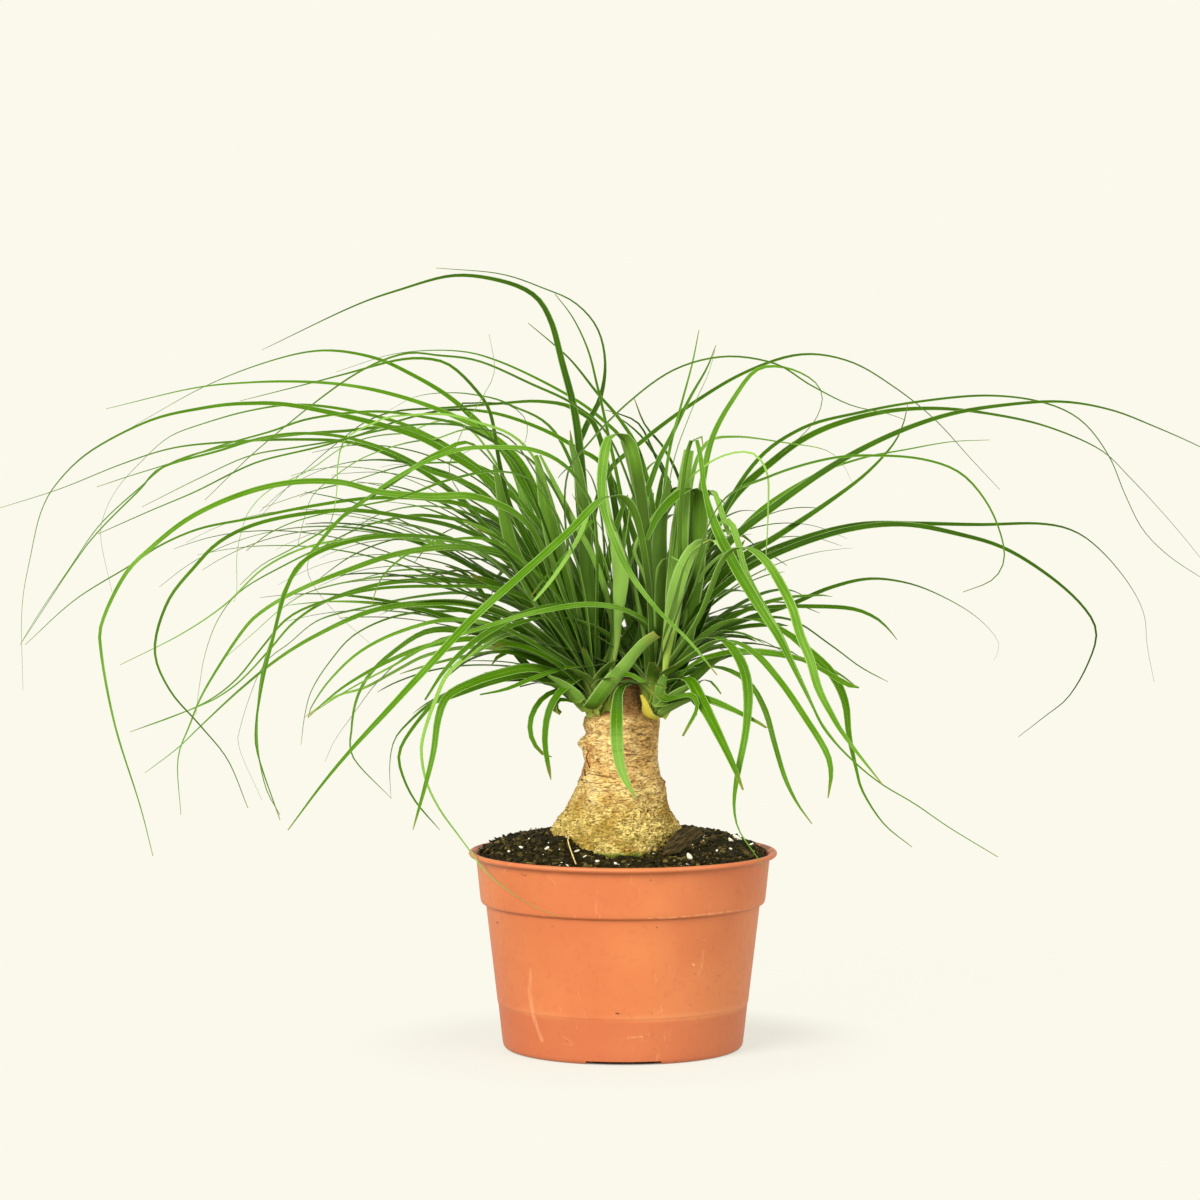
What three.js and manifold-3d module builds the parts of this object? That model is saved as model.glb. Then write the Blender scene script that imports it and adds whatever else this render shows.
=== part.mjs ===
// A potted ponytail palm: a plastic pot, its soil, the swollen trunk, four shoots on the trunk's
// top and fifty of their arching strap leaves. Millimetres, +Z up. The origin is on the pot's
// axis at the plane of its foot ring.
import * as THREE from "three";
import Module from "manifold-3d";
import { mergeVertices } from "three/addons/utils/BufferGeometryUtils.js";

const FACETS = 64;

// Pot: radius and height of its section, from the middle of the underside, outside, to the
// middle of the inner floor.
const POT_SECTION = [
  [53.6, 2.6],
  [54.4, 0],
  [57.2, 0],
  [59.2, 1.2],
  [60.4, 4],
  [61.0, 8],
  [68.6, 71.4],
  [70.9, 73.0],
  [71.4, 74.4],
  [73.6, 95.0],
  [74.6, 96.2],
  [76.9, 96.6],
  [77.4, 97.6],
  [76.9, 98.7],
  [75.6, 99.0],
  [73.6, 98.6],
  [71.7, 95.6],
  [69.4, 75.0],
  [66.8, 72.2],
  [59.2, 8.6],
  [57.6, 5.4],
  [54.0, 4.4],
];
const POT_UNDERSIDE = 2.6;
const POT_FLOOR = 4.4;
const DRAIN_HOLES = 6;
const DRAIN_RADIUS = 5;
const DRAIN_CIRCLE = 38;
const FOOT_NOTCHES = 3;
const FOOT_NOTCH_WIDTH = 37;
const FOOT_NOTCH_HEIGHT = 1.9;

// Soil: its sides follow the pot's inside, its top heaps up to the trunk, less so in front.
const SOIL_SIDE = [
  [53.6, 4.8],
  [57.1, 5.9],
  [58.7, 8.8],
  [66.2, 72.4],
  [68.9, 75.3],
  [70.9, 92.6],
];
const SOIL_TOP_RADII = [70.4, 66, 58, 48, 40];
const SOIL_HEIGHT_SIDES = [[70, 94.2], [66, 98.2], [60, 102.2], [48, 105.6], [34, 108.4]];
const SOIL_HEIGHT_FRONT = [[70, 94.0], [66, 95.2], [60, 96.6], [48, 98.2], [34, 99.6]];
const PIT_DEPTHS = [92, 84, 76, 68, 62, 57];
const GAP = 0.4;

// Trunk: radius at each height, and how far its axis stands beside the pot's.
const TRUNK_RADII = [
  [60, 20],
  [64, 26],
  [70, 30.5],
  [80, 34.4],
  [92, 35.6],
  [101, 34.9],
  [109, 33.2],
  [114, 29.8],
  [119, 26.6],
  [124, 24.6],
  [129, 23.2],
  [134, 21.9],
  [138, 20.2],
  [144, 18.4],
  [149, 18.6],
  [154, 19.2],
  [158, 18.5],
  [163, 19.4],
  [165.6, 18.6],
];
const TRUNK_SIDEWAYS = [[60, -3], [110, -3], [134, -1], [170, -0.6]];
const TRUNK_BOTTOM = 59;
const TRUNK_TOP = 166;
const BARK_RELIEF = 0.5;

// Shoots: middle of the foot and size against the front ones.
const SHOOTS = {
  left: { name: "shoot_left", at: [-14.6, -5.2, 166.4], size: 1 },
  right: { name: "shoot_right", at: [14.6, -5.2, 166.4], size: 1 },
  backLeft: { name: "shoot_back_left", at: [-9.4, 13, 166.4], size: 0.88 },
  backRight: { name: "shoot_back_right", at: [9.4, 13, 166.4], size: 0.88 },
};
const SHOOT_SECTION = [[6.4, 0], [7.8, 3.6], [9.2, 9], [9.5, 13.5], [8.7, 18], [6.6, 21.6], [3.6, 23.6]];
const SHOOT_HEIGHT = 24.2;
const SHOOT_HEART = 13.5;

// A leaf's line is drawn as it looks from in front: across and up, in millimetres from the foot
// of the pot's axis, on a plane square to the line of sight. The eye stands in front of the pot.
const EYE = new THREE.Vector3(-11.5, -2120, 346);
const LOOK_DOWN = THREE.MathUtils.degToRad(3.278);
const SIGHT_DISTANCE = 2125;
const SIGHT_ORIGIN = [11.5, -223];

const LEAF_STEP = 17;
const LEAF_STEP_FACING = 5;
const LEAF_SETTLING = 8;
const LEAF_STEPS_LEAST = 8;
const LEAF_STEPS_MOST = 24;
const LEAF_THICKNESS = 1;
const LEAF_TIP = 0.6;
const LEAF_NARROWING = [[110, 0.45], [270, 1.1]];
const LEAF_FOOT = 0.5;
const LEAF_FOLD = 0.12;
const LEAF_GAP = 0.35;

// Each leaf: shoot, width, how far its tip lies behind the pot's axis (in front below nought),
// roll of the blade in degrees, and the points of its line, across and up. A third number in a
// point is its own distance behind the axis. Some leaves say more: the blade's width at the shoot
// and at each point, and whether it faces forwards all the way, also where it folds over.
const LEAVES = [
  ["backLeft", 6.5, 40, 50, [[-17.5, 243], [-23, 308], [-31, 343], [-36.5, 363], [-45, 375.5], [-61.5, 382.5],
    [-85, 385], [-111.5, 378], [-136.5, 369], [-180.5, 348]]],
  ["backLeft", 4, 110, 30, [[-20, 243], [-23.5, 290.5], [-19, 309], [-11.5, 324], [-9, 342], [-13, 359],
    [-24, 371.5], [-39, 378.5], [-61.5, 386], [-93.5, 389]]],
  ["backRight", 4, 150, 35, [[20.5, 223], [14.5, 263], [3.5, 297], [-11.5, 314], [-31.5, 327.5], [-61.5, 342],
    [-84, 347.5], [-114, 346], [-143.5, 337]]],
  ["backRight", 4, -60, 35, [[16, 223], [8.5, 263], [-6.5, 303], [-24, 320], [-46.5, 331], [-71.5, 342],
    [-91.5, 345], [-111.5, 345.5], [-139, 332.5], [-180.5, 300], [-209, 273]]],
  ["backLeft", 5.5, 190, 40, [[-26.5, 228], [-41.5, 268], [-61.5, 299.5], [-84, 322], [-106.5, 336],
    [-126.5, 344.5], [-151.5, 347.5], [-179, 341.5], [-211.5, 328.5], [-250.5, 306.5]]],
  ["backLeft", 6, 86, 45, [[-30.5, 238], [-46.5, 283], [-63, 303], [-86.5, 315.5], [-111.5, 324.5],
    [-136.5, 330], [-161.5, 332], [-189, 331.5], [-216.5, 328.5], [-258.5, 318.5]]],
  ["left", 6, -35, 40, [[-30.5, 218], [-54, 263], [-61.5, 288], [-66.5, 315.5], [-74, 328], [-86.5, 340],
    [-99, 343.5], [-114, 342.5], [-136.5, 336.5], [-161.5, 330], [-191.5, 322.5]]],
  ["left", 5, 60, 40, [[-35.5, 228], [-61.5, 275.5], [-86.5, 295.5], [-111.5, 307.5], [-161.5, 319.5],
    [-189, 321], [-211.5, 318.5], [-236.5, 312.5], [-265, 298], [-281.5, 283], [-290.5, 268], [-296, 245.5],
    [-300.5, 218], [-300, 178]]],
  ["backLeft", 4, 175, 35, [[-39, 238], [-71.5, 285.5], [-101.5, 307], [-131.5, 316.5], [-161.5, 320.5],
    [-186.5, 317.5], [-211.5, 310.5], [-227.5, 304], [-241.5, 291.5], [-253, 278.5], [-259.5, 265.5],
    [-261, 253], [-255.5, 227]]],
  ["backLeft", 5, 150, 40, [[-39, 218], [-71.5, 263], [-91.5, 281], [-111.5, 293], [-136.5, 301.5],
    [-166.5, 303], [-201.5, 301.5], [-226.5, 298.5], [-251.5, 290.5], [-281.5, 278.5], [-311.5, 269]]],
  ["left", 5, 5, 40, [[-35.5, 223], [-66.5, 273], [-96.5, 287], [-116.5, 297], [-139, 304], [-161.5, 306],
    [-181.5, 303.5], [-201.5, 297.5], [-230.5, 289], [-241.5, 278], [-261.5, 258], [-274, 242], [-300.5, 202]]],
  ["backRight", 5, 95, 40, [[12.5, 228], [-6.5, 284], [-24, 299], [-44, 309.5], [-66.5, 316.5], [-89, 317.5],
    [-111.5, 312.5], [-136.5, 304], [-161.5, 299.5], [-186.5, 295], [-211.5, 284], [-240.5, 269.5]]],
  ["left", 6, -168, 45, [[-30.5, 213], [-46.5, 258], [-71.5, 273.5], [-96.5, 274.5], [-121.5, 276.5],
    [-141.5, 281.5], [-166.5, 281.5], [-191.5, 275.5], [-216.5, 264], [-236.5, 248.5], [-249, 235.5],
    [-260, 213], [-261, 198], [-254, 160.5], [-241.5, 120.5], [-235, 95]]],
  ["backLeft", 5.5, 20, 40, [[-32.5, 208], [-51.5, 250.5], [-71.5, 267], [-96.5, 273], [-126.5, 273.5],
    [-156.5, 269.5], [-186.5, 263.5], [-211.5, 258.5], [-231.5, 250], [-246.5, 240], [-274, 223],
    [-299, 200.5]]],
  ["left", 5.5, -98, 40, [[-32.5, 203], [-56.5, 243], [-81.5, 258], [-111.5, 264.5], [-136.5, 267.5],
    [-161.5, 265.5], [-184, 260.5], [-201.5, 252], [-214, 239.5], [-227.5, 222], [-234, 198], [-226.5, 178],
    [-211.5, 160.5], [-197.5, 143], [-187.5, 119]]],
  ["left", 4.5, -135, 35, [[-22.5, 238], [-41.5, 278], [-61.5, 287], [-86.5, 283], [-111.5, 274], [-136.5, 269],
    [-161.5, 263], [-176.5, 256.5], [-188.5, 247.5]]],
  ["left", 5, -12, 35, [[-36.5, 210.5], [-66.5, 243], [-91.5, 250.5], [-116.5, 254], [-141.5, 252.5],
    [-161.5, 248], [-180.5, 238], [-199, 220.5], [-221.5, 205.5], [-251.5, 190.5]]],
  ["left", 6, -62, 40, [[-30.5, 210.5], [-51.5, 242], [-81.5, 249], [-111.5, 246], [-136.5, 238], [-161.5, 228],
    [-180.5, 217], [-191.5, 205.5], [-209, 178], [-216.5, 160.5], [-222.5, 143], [-221, 115.5]]],
  ["backLeft", 6, 60, 40, [[-27.5, 203], [-46.5, 224], [-71.5, 231], [-96.5, 232.5], [-121.5, 230.5],
    [-146.5, 223], [-164, 212], [-176.5, 198], [-189, 184.5], [-199, 176.5], [-211.5, 170], [-246.5, 157]]],
  ["backLeft", 5, 190, 40, [[-30.5, 200.5], [-51.5, 219], [-76.5, 226], [-101.5, 224.5], [-126.5, 219.5],
    [-151.5, 213], [-166.5, 201.5], [-180.5, 189], [-191, 160.5], [-191.5, 148], [-180.5, 123]]],
  ["left", 6, -25, 40, [[-30.5, 195.5], [-51.5, 212], [-76.5, 220.5], [-101.5, 221], [-126.5, 217],
    [-151.5, 206], [-171.5, 194], [-191.5, 178], [-211.5, 159.5], [-222.5, 149], [-239, 136.5]]],
  ["left", 5.5, -185, 40, [[-37.5, 213], [-71.5, 247], [-101.5, 254.5], [-131.5, 253], [-156.5, 244.5],
    [-167.5, 230.5], [-176.5, 198], [-180.5, 180.5], [-183.5, 160.5], [-182.5, 145.5], [-171.5, 113]]],
  ["left", 5, 60, 35, [[-39, 182], [-54, 197], [-63, 214], [-72.5, 229], [-80.5, 237], [-89, 240]]],
  ["left", 6, 10, 40, [[-33.5, 192], [-59, 203], [-81.5, 207.5], [-99, 206.5], [-115.5, 196], [-126.5, 185.5],
    [-133, 173], [-135.5, 158], [-134.5, 144], [-115.5, 123.5]]],
  ["left", 5, 45, 40, [[-29, 179], [-46.5, 185], [-64, 182], [-86.5, 174], [-96.5, 170.5], [-106.5, 162],
    [-114, 153], [-116.5, 140.5], [-116, 124]]],
  ["left", 4.5, -20, 35, [[-31.5, 182], [-49, 187], [-66.5, 184.5], [-84, 177], [-94, 171.5], [-105.5, 158],
    [-111.5, 147], [-110.5, 137], [-104, 123], [-91.5, 108]]],
  ["right", 6, -75, 10, [[14.5, 223], [10, 268], [4.5, 298], [-1.5, 305], [-7.5, 302.5], [-10.5, 285.5],
    [-10, 270.5], [-5.5, 255.5], [2.5, 238], [16, 219.5], [33.5, 202], [47, 185.5]],
    { facing: true, widths: [1.4, 5, 3.6, 2, 2, 3.6, 3.6, 3.4, 3, 1.9, 1.4, 0.6] }],
  ["right", 6.5, -195, 50, [[13.5, 223], [8.5, 258], [2.5, 272], [-5.5, 274.5], [-13, 271], [-26.5, 257],
    [-51.5, 234.5], [-76.5, 212], [-96.5, 190.5], [-116.5, 169], [-136.5, 147.5], [-151.5, 129.5],
    [-167.5, 108]],
    { facing: true, widths: [3, 3.4, 4.2, 4.8, 4.8, 4.8, 4.6, 4.2, 3.6, 2.8, 1.8, 1.2, 0.5] }],
  ["left", 6, -60, 45, [[-44, 188.5], [-61.5, 186], [-76.5, 181], [-88, 174.5], [-92.5, 163], [-94.5, 148],
    [-98, 133], [-105, 108]]],
  ["left", 4, 0, 20, [[-51.5, 205, -27], [-71.5, 198, -33], [-86.5, 187, -34], [-93.5, 173, -34],
    [-99.5, 155.5, -33], [-100.5, 145.5, -32], [-98, 132, -30], [-91.5, 118.5, -28], [-82.5, 106, -27],
    [-75.5, 96.5, -29], [-68, 86.5, -38], [-55.5, 76.5, -51], [-43, 69, -61], [-31, 64.5, -67]]],
  ["left", 4.5, -29, 35, [[-23, 183.5, -15], [-32.5, 175.5, -22], [-37.5, 165.5, -26], [-39, 153, -28],
    [-38, 144, -29], [-36, 133, -29]]],
  ["left", 8, -40, 30, [[-12, 174.5, -21], [-6.5, 181.5, -22], [-0.5, 188, -23.5],
    [5, 195, -27], [11, 201.5, -32], [17, 205.5, -36]],
    { facing: true, widths: [2, 9, 7, 5.6, 5.4, 5] }],
  ["right", 7, -34, 20, [[4.5, 186, -27], [-1.5, 181.5, -32], [-3, 168, -34], [-3, 153, -34], [-1.5, 140.5, -33],
    [2.5, 130.5, -33.5], [7, 123.5, -34]],
    { facing: true, widths: [2.6, 4.6, 6.4, 6.4, 5, 3, 0.6] }],
  ["right", 6, -75, 40, [[32.5, 183], [40, 170.5], [48.5, 154], [56, 138], [60, 128]],
    { widths: [5.6, 6.2, 4.4, 2.8, 1] }],
  ["right", 6.5, -75, 45, [[28.5, 192], [38.5, 202.5], [49.5, 203], [58.5, 193], [62.5, 178], [61.5, 158],
    [57.5, 137], [55.5, 121.5], [57.5, 109], [64.5, 98], [72.5, 87]],
    { widths: [3, 3.6, 3.8, 5, 5.2, 3.7, 3, 2.2, 1.1, 0.8, 0.5] }],
  ["right", 6, -135, 40, [[33.5, 194], [49.5, 202.5], [64.5, 197], [78.5, 182], [90, 165.5], [101, 148],
    [104, 137], [102.5, 124]],
    { widths: [4, 4, 4.4, 3.6, 3.3, 3.1, 2.4, 0.6] }],
  ["right", 5, -40, 40, [[33.5, 188], [48.5, 189], [62.5, 182], [71, 168], [76, 150.5], [81, 134], [87, 121.5],
    [94.5, 111]],
    { widths: [3, 2.6, 2.6, 3, 2.6, 2.3, 1.3, 0.5] }],
  ["right", 6.5, -100, 10, [[27.5, 223], [28.5, 263], [31.5, 293], [35.5, 304], [38.5, 295.5], [41, 277],
    [46.5, 259], [57.5, 237], [68.5, 219], [78.5, 203], [87, 185.5], [94.5, 170.5], [101, 158], [113.5, 144],
    [128.5, 131.5], [146, 121], [163.5, 109], [187.5, 94.5]],
    { facing: true, widths: [1.4, 2.4, 2.2, 2.4, 2.4, 2.4, 4.8, 5.4, 4.6, 3.6, 2, 1.2, 1.2, 0.9, 0.7, 0.6, 0.5, 0.4] }],
  ["right", 6.5, -150, 45, [[37.5, 213], [49.5, 242], [59.5, 249], [69.5, 244], [77.5, 233], [84.5, 219],
    [88.5, 205.5], [93.5, 193], [97.5, 179], [103.5, 167], [111.5, 154], [129.5, 131]],
    { widths: [2.6, 3, 3.6, 4.4, 4.6, 4.6, 4.5, 4.4, 3.8, 3, 2, 0.6] }],
  ["right", 6, -25, 40, [[33.5, 199], [48.5, 210.5], [66, 213], [81, 207], [93.5, 197], [104.5, 186],
    [111, 172], [113, 155.5], [116.5, 139], [120, 127], [130.5, 111], [144.5, 99.5]],
    { widths: [3.4, 2.8, 2.7, 3, 4.2, 4.6, 3.8, 2.8, 1.6, 1.2, 0.7, 0.4] }],
  ["backRight", 5.5, 45, 40, [[33.5, 202], [51, 214.5], [71, 219], [93.5, 219.5], [113.5, 218.5], [125, 214.5],
    [132, 209], [137, 203]],
    { widths: [3, 2.8, 2.8, 3.3, 3.1, 2.7, 1.8, 0.6] }],
  ["right", 6, -70, 40, [[33.5, 213], [58.5, 235.5], [83.5, 248.5], [113.5, 258], [141, 260.5], [168.5, 255.5],
    [191, 248.5], [213.5, 234.5], [230, 219.5], [236.5, 206.5], [232, 190.5], [222.5, 174.5], [211, 165],
    [197.5, 154.5]]],
  ["backRight", 5, 90, 40, [[36, 218], [61, 240.5], [88.5, 253], [118.5, 260.5], [148.5, 261], [178.5, 260.5],
    [208.5, 261], [226, 257], [240, 246.5], [253.5, 230], [260.5, 215.5], [262, 200.5], [265.5, 182]]],
  ["right", 6, 20, 40, [[33.5, 213], [53.5, 239], [78.5, 255.5], [101, 270.5], [121, 285.5], [135, 300.5],
    [140.5, 312], [142.5, 322]]],
  ["right", 6, -10, 40, [[31, 218], [51, 249], [78.5, 271.5], [106, 290.5], [133.5, 305], [161, 315],
    [188.5, 320], [218.5, 322], [243.5, 318], [266, 309.5], [288.5, 299.5], [302.5, 291.5], [313.5, 280.5]]],
  ["backRight", 5.5, 200, 40, [[33.5, 223], [51, 268], [76, 293], [98.5, 307.5], [128.5, 316.5], [158.5, 318.5],
    [188.5, 315], [213.5, 309], [238.5, 298], [253.5, 284], [268.5, 268], [283.5, 250.5], [294.5, 235.5],
    [301, 218]]],
  ["backLeft", 5, 72, 40, [[-16.5, 243], [-9, 283], [8.5, 301], [33.5, 320], [61, 336.5], [88.5, 345.5],
    [113.5, 342], [136, 329], [156, 313], [173.5, 294], [188.5, 278]]],
  ["left", 5, -50, 35, [[-26.5, 243], [-28, 283], [-16.5, 301.5], [3.5, 322], [26, 338], [51, 344.5], [76, 341],
    [93.5, 330.5], [113.5, 320.5], [131, 316.5], [141, 313]]],
  ["backRight", 6.5, 60, 45, [[28.5, 223], [38.5, 273], [44.5, 303], [56, 324.5], [67, 338], [81, 339],
    [94.5, 333], [99.5, 324.5], [96, 313], [87, 303], [78.5, 295.5]]],
  ["right", 4.5, -190, 40, [[33.5, 233], [48.5, 270.5], [73.5, 284.5], [103.5, 293.5], [128.5, 295], [151, 293],
    [168.5, 286.5], [181, 273], [188.5, 257], [190.5, 243], [184.5, 233], [170, 227]]],
];

const DRY_BASE = ["right", 4.5, 0, 10, [[13, 169, -18], [11, 172.5, -19.5], [9.5, 176, -20]]];
// The chip stands on a long edge: length, thickness and height, middle, way along and lean.
const CHIP = { size: [26, 1.6, 8], at: [31.4, -25, 107.7], along: [15.5, 31.3, 7.3], lean: 52 };

const wasm = await Module();
wasm.setup();

const object = new THREE.Group();
object.name = "ponytail_palm";

function material(color, roughness) {
  return new THREE.MeshStandardMaterial({ color, roughness, metalness: 0 });
}

function add(name, geometry, surface) {
  const mesh = new THREE.Mesh(geometry, surface);
  mesh.name = name;
  geometry.computeVertexNormals();
  object.add(mesh);
}

// Value of a table of [place, value] rows at a place, in straight lines between the rows.
function between(table, place) {
  const rows = table[0][0] < table[1][0] ? table : [...table].reverse();
  const next = rows.findIndex((row) => row[0] >= place);
  if (next === 0) return rows[0][1];
  if (next < 0) return rows[rows.length - 1][1];
  const [a, b] = [rows[next - 1], rows[next]];
  return a[1] + ((b[1] - a[1]) * (place - a[0])) / (b[0] - a[0]);
}

// Closed surface through rings of equally many points, with a fan to a middle point at each end.
function skin(first, rings, last) {
  const count = rings[0].length;
  const points = [first, ...rings.flat(), last];
  const end = points.length - 1;
  const index = [];
  for (let j = 0; j < count; j += 1) {
    const k = (j + 1) % count;
    index.push(0, 1 + k, 1 + j);
    for (let i = 0; i + 1 < rings.length; i += 1) {
      const [low, high] = [1 + i * count, 1 + (i + 1) * count];
      index.push(low + j, low + k, high + j);
      index.push(low + k, high + k, high + j);
    }
    const top = end - count;
    index.push(end, top + j, top + k);
  }
  const geometry = new THREE.BufferGeometry();
  const positions = points.flatMap((p) => [p.x, p.y, p.z]);
  geometry.setAttribute("position", new THREE.Float32BufferAttribute(positions, 3));
  geometry.setIndex(index);
  return geometry;
}

function ring(count, place) {
  return Array.from({ length: count }, (_, j) => place((j / count) * 2 * Math.PI));
}

function circle(radius, height, sideways = 0) {
  return ring(FACETS, (turn) => new THREE.Vector3(
    sideways + radius * Math.cos(turn), radius * Math.sin(turn), height));
}

function solid(geometry) {
  const bare = geometry.clone();
  bare.deleteAttribute("normal");
  bare.deleteAttribute("uv");
  const merged = mergeVertices(bare, 1e-3);
  return new wasm.Manifold(new wasm.Mesh({
    numProp: 3,
    vertProperties: merged.attributes.position.array,
    triVerts: new Uint32Array(merged.index.array),
  }));
}

function surfaceOf(body) {
  const mesh = body.getMesh();
  const geometry = new THREE.BufferGeometry();
  geometry.setAttribute("position", new THREE.BufferAttribute(mesh.vertProperties, 3));
  geometry.setIndex(new THREE.BufferAttribute(mesh.triVerts, 1));
  return geometry;
}

function pot() {
  const rings = POT_SECTION.map(([radius, height]) => circle(radius, height));
  let body = solid(skin(new THREE.Vector3(0, 0, POT_UNDERSIDE), rings, new THREE.Vector3(0, 0, POT_FLOOR)));
  for (let i = 0; i < DRAIN_HOLES; i += 1) {
    const turn = (i / DRAIN_HOLES) * 2 * Math.PI;
    const hole = new THREE.CylinderGeometry(DRAIN_RADIUS, DRAIN_RADIUS, 12, 20);
    hole.rotateX(Math.PI / 2);
    hole.translate(DRAIN_CIRCLE * Math.cos(turn), DRAIN_CIRCLE * Math.sin(turn), POT_FLOOR);
    body = body.subtract(solid(hole));
  }
  for (let i = 0; i < FOOT_NOTCHES; i += 1) {
    const notch = new THREE.BoxGeometry(16, FOOT_NOTCH_WIDTH, 2 * FOOT_NOTCH_HEIGHT);
    notch.translate(60, 0, 0);
    notch.rotateZ(-Math.PI / 2 + (i / FOOT_NOTCHES) * 2 * Math.PI);
    body = body.subtract(solid(notch));
  }
  return surfaceOf(body);
}

function soilHeight(radius, turn) {
  const front = Math.max(0, -Math.sin(turn)) ** 2;
  const sides = between(SOIL_HEIGHT_SIDES, radius);
  return sides + (between(SOIL_HEIGHT_FRONT, radius) - sides) * front;
}

function soil() {
  const rings = SOIL_SIDE.map(([radius, height]) => circle(radius, height));
  for (const radius of SOIL_TOP_RADII) {
    const sideways = (between(TRUNK_SIDEWAYS, 0) * (SOIL_TOP_RADII[0] - radius)) / 34;
    rings.push(ring(FACETS, (turn) => new THREE.Vector3(
      sideways + radius * Math.cos(turn), radius * Math.sin(turn), soilHeight(radius, turn))));
  }
  const axis = between(TRUNK_SIDEWAYS, 0);
  rings.push(ring(FACETS, (turn) => {
    const height = soilHeight(35, turn);
    const radius = between(TRUNK_RADII, height) + 2 * GAP;
    return new THREE.Vector3(axis + radius * Math.cos(turn), radius * Math.sin(turn), height);
  }));
  for (const height of PIT_DEPTHS) {
    rings.push(circle(between(TRUNK_RADII, height + 2) + 2 * GAP, height, axis));
  }
  const [bottom, pit] = [SOIL_SIDE[0][1], PIT_DEPTHS[PIT_DEPTHS.length - 1]];
  return skin(new THREE.Vector3(0, 0, bottom), rings, new THREE.Vector3(axis, 0, pit));
}

function trunk() {
  const rings = TRUNK_RADII.map(([height, radius]) => ring(FACETS, (turn) => {
    const relief = height > 112 ? BARK_RELIEF * Math.sin(3 * turn + height / 6) : 0;
    const out = radius + relief;
    const sideways = between(TRUNK_SIDEWAYS, height);
    return new THREE.Vector3(sideways + out * Math.cos(turn), out * Math.sin(turn), height);
  }));
  const [low, high] = [between(TRUNK_SIDEWAYS, 0), between(TRUNK_SIDEWAYS, TRUNK_TOP)];
  return skin(new THREE.Vector3(low, 0, TRUNK_BOTTOM), rings, new THREE.Vector3(high, 0, TRUNK_TOP));
}

function shoot({ at, size }) {
  const rings = SHOOT_SECTION.map(([radius, height]) => ring(20, (turn) => new THREE.Vector3(
    at[0] + size * radius * Math.cos(turn), at[1] + size * radius * Math.sin(turn), at[2] + size * height)));
  const foot = new THREE.Vector3(...at);
  return skin(foot, rings, new THREE.Vector3(at[0], at[1], at[2] + size * SHOOT_HEIGHT));
}

// Point of space that is seen from the eye at (across, up) and lies a distance behind the axis.
function seen(across, up, behind) {
  const ahead = new THREE.Vector3(0, Math.cos(LOOK_DOWN), -Math.sin(LOOK_DOWN));
  const above = new THREE.Vector3(0, Math.sin(LOOK_DOWN), Math.cos(LOOK_DOWN));
  const ray = ahead.multiplyScalar(SIGHT_DISTANCE).addScaledVector(above, SIGHT_ORIGIN[1] + up);
  ray.x += SIGHT_ORIGIN[0] + across;
  return ray.multiplyScalar((behind - EYE.y) / ray.y).add(EYE);
}

// The leaf's line: it leaves its shoot straight out and swings to its tip's depth on the way.
function leafLine([shootKey, , depth, , points], meetsShoot) {
  const { at, size } = SHOOTS[shootKey];
  const lengths = [0];
  for (let i = 1; i < points.length; i += 1) {
    const step = Math.hypot(points[i][0] - points[i - 1][0], points[i][1] - points[i - 1][1]);
    lengths.push(lengths[i - 1] + step);
  }
  const lead = meetsShoot ? Math.hypot(points[0][0] - at[0], points[0][1] - at[2] - SHOOT_HEART) : 0;
  const whole = lead + lengths[lengths.length - 1];
  const line = points.map(([across, up, behind], i) => {
    const swing = Math.sin(((lead + lengths[i]) / whole) * (Math.PI / 2));
    return seen(across, up, behind ?? at[1] + (depth - at[1]) * swing);
  });
  if (meetsShoot) {
    const heart = new THREE.Vector3(at[0], at[1], at[2] + size * SHOOT_HEART);
    const way = line[0].clone().sub(heart).normalize();
    const [side, rise] = [size * 9.5, size * (SHOOT_HEIGHT - SHOOT_HEART)];
    const reach = 1 / Math.hypot(way.x / side, way.y / side, way.z / rise);
    const start = heart.clone().addScaledVector(way, reach + LEAF_GAP);
    line.unshift(start);
  }
  return new THREE.CatmullRomCurve3(line, false, "catmullrom", 0.5);
}

// Widths along a leaf, each at the share of the length where its point lies on the curve.
function widthPlaces(curve, widths) {
  const fine = 40;
  const lengths = curve.getLengths((curve.points.length - 1) * fine);
  const whole = lengths[lengths.length - 1];
  return curve.points.map((_, i) => [lengths[i * fine] / whole, widths[Math.max(0, i - 1)]]);
}

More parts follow.
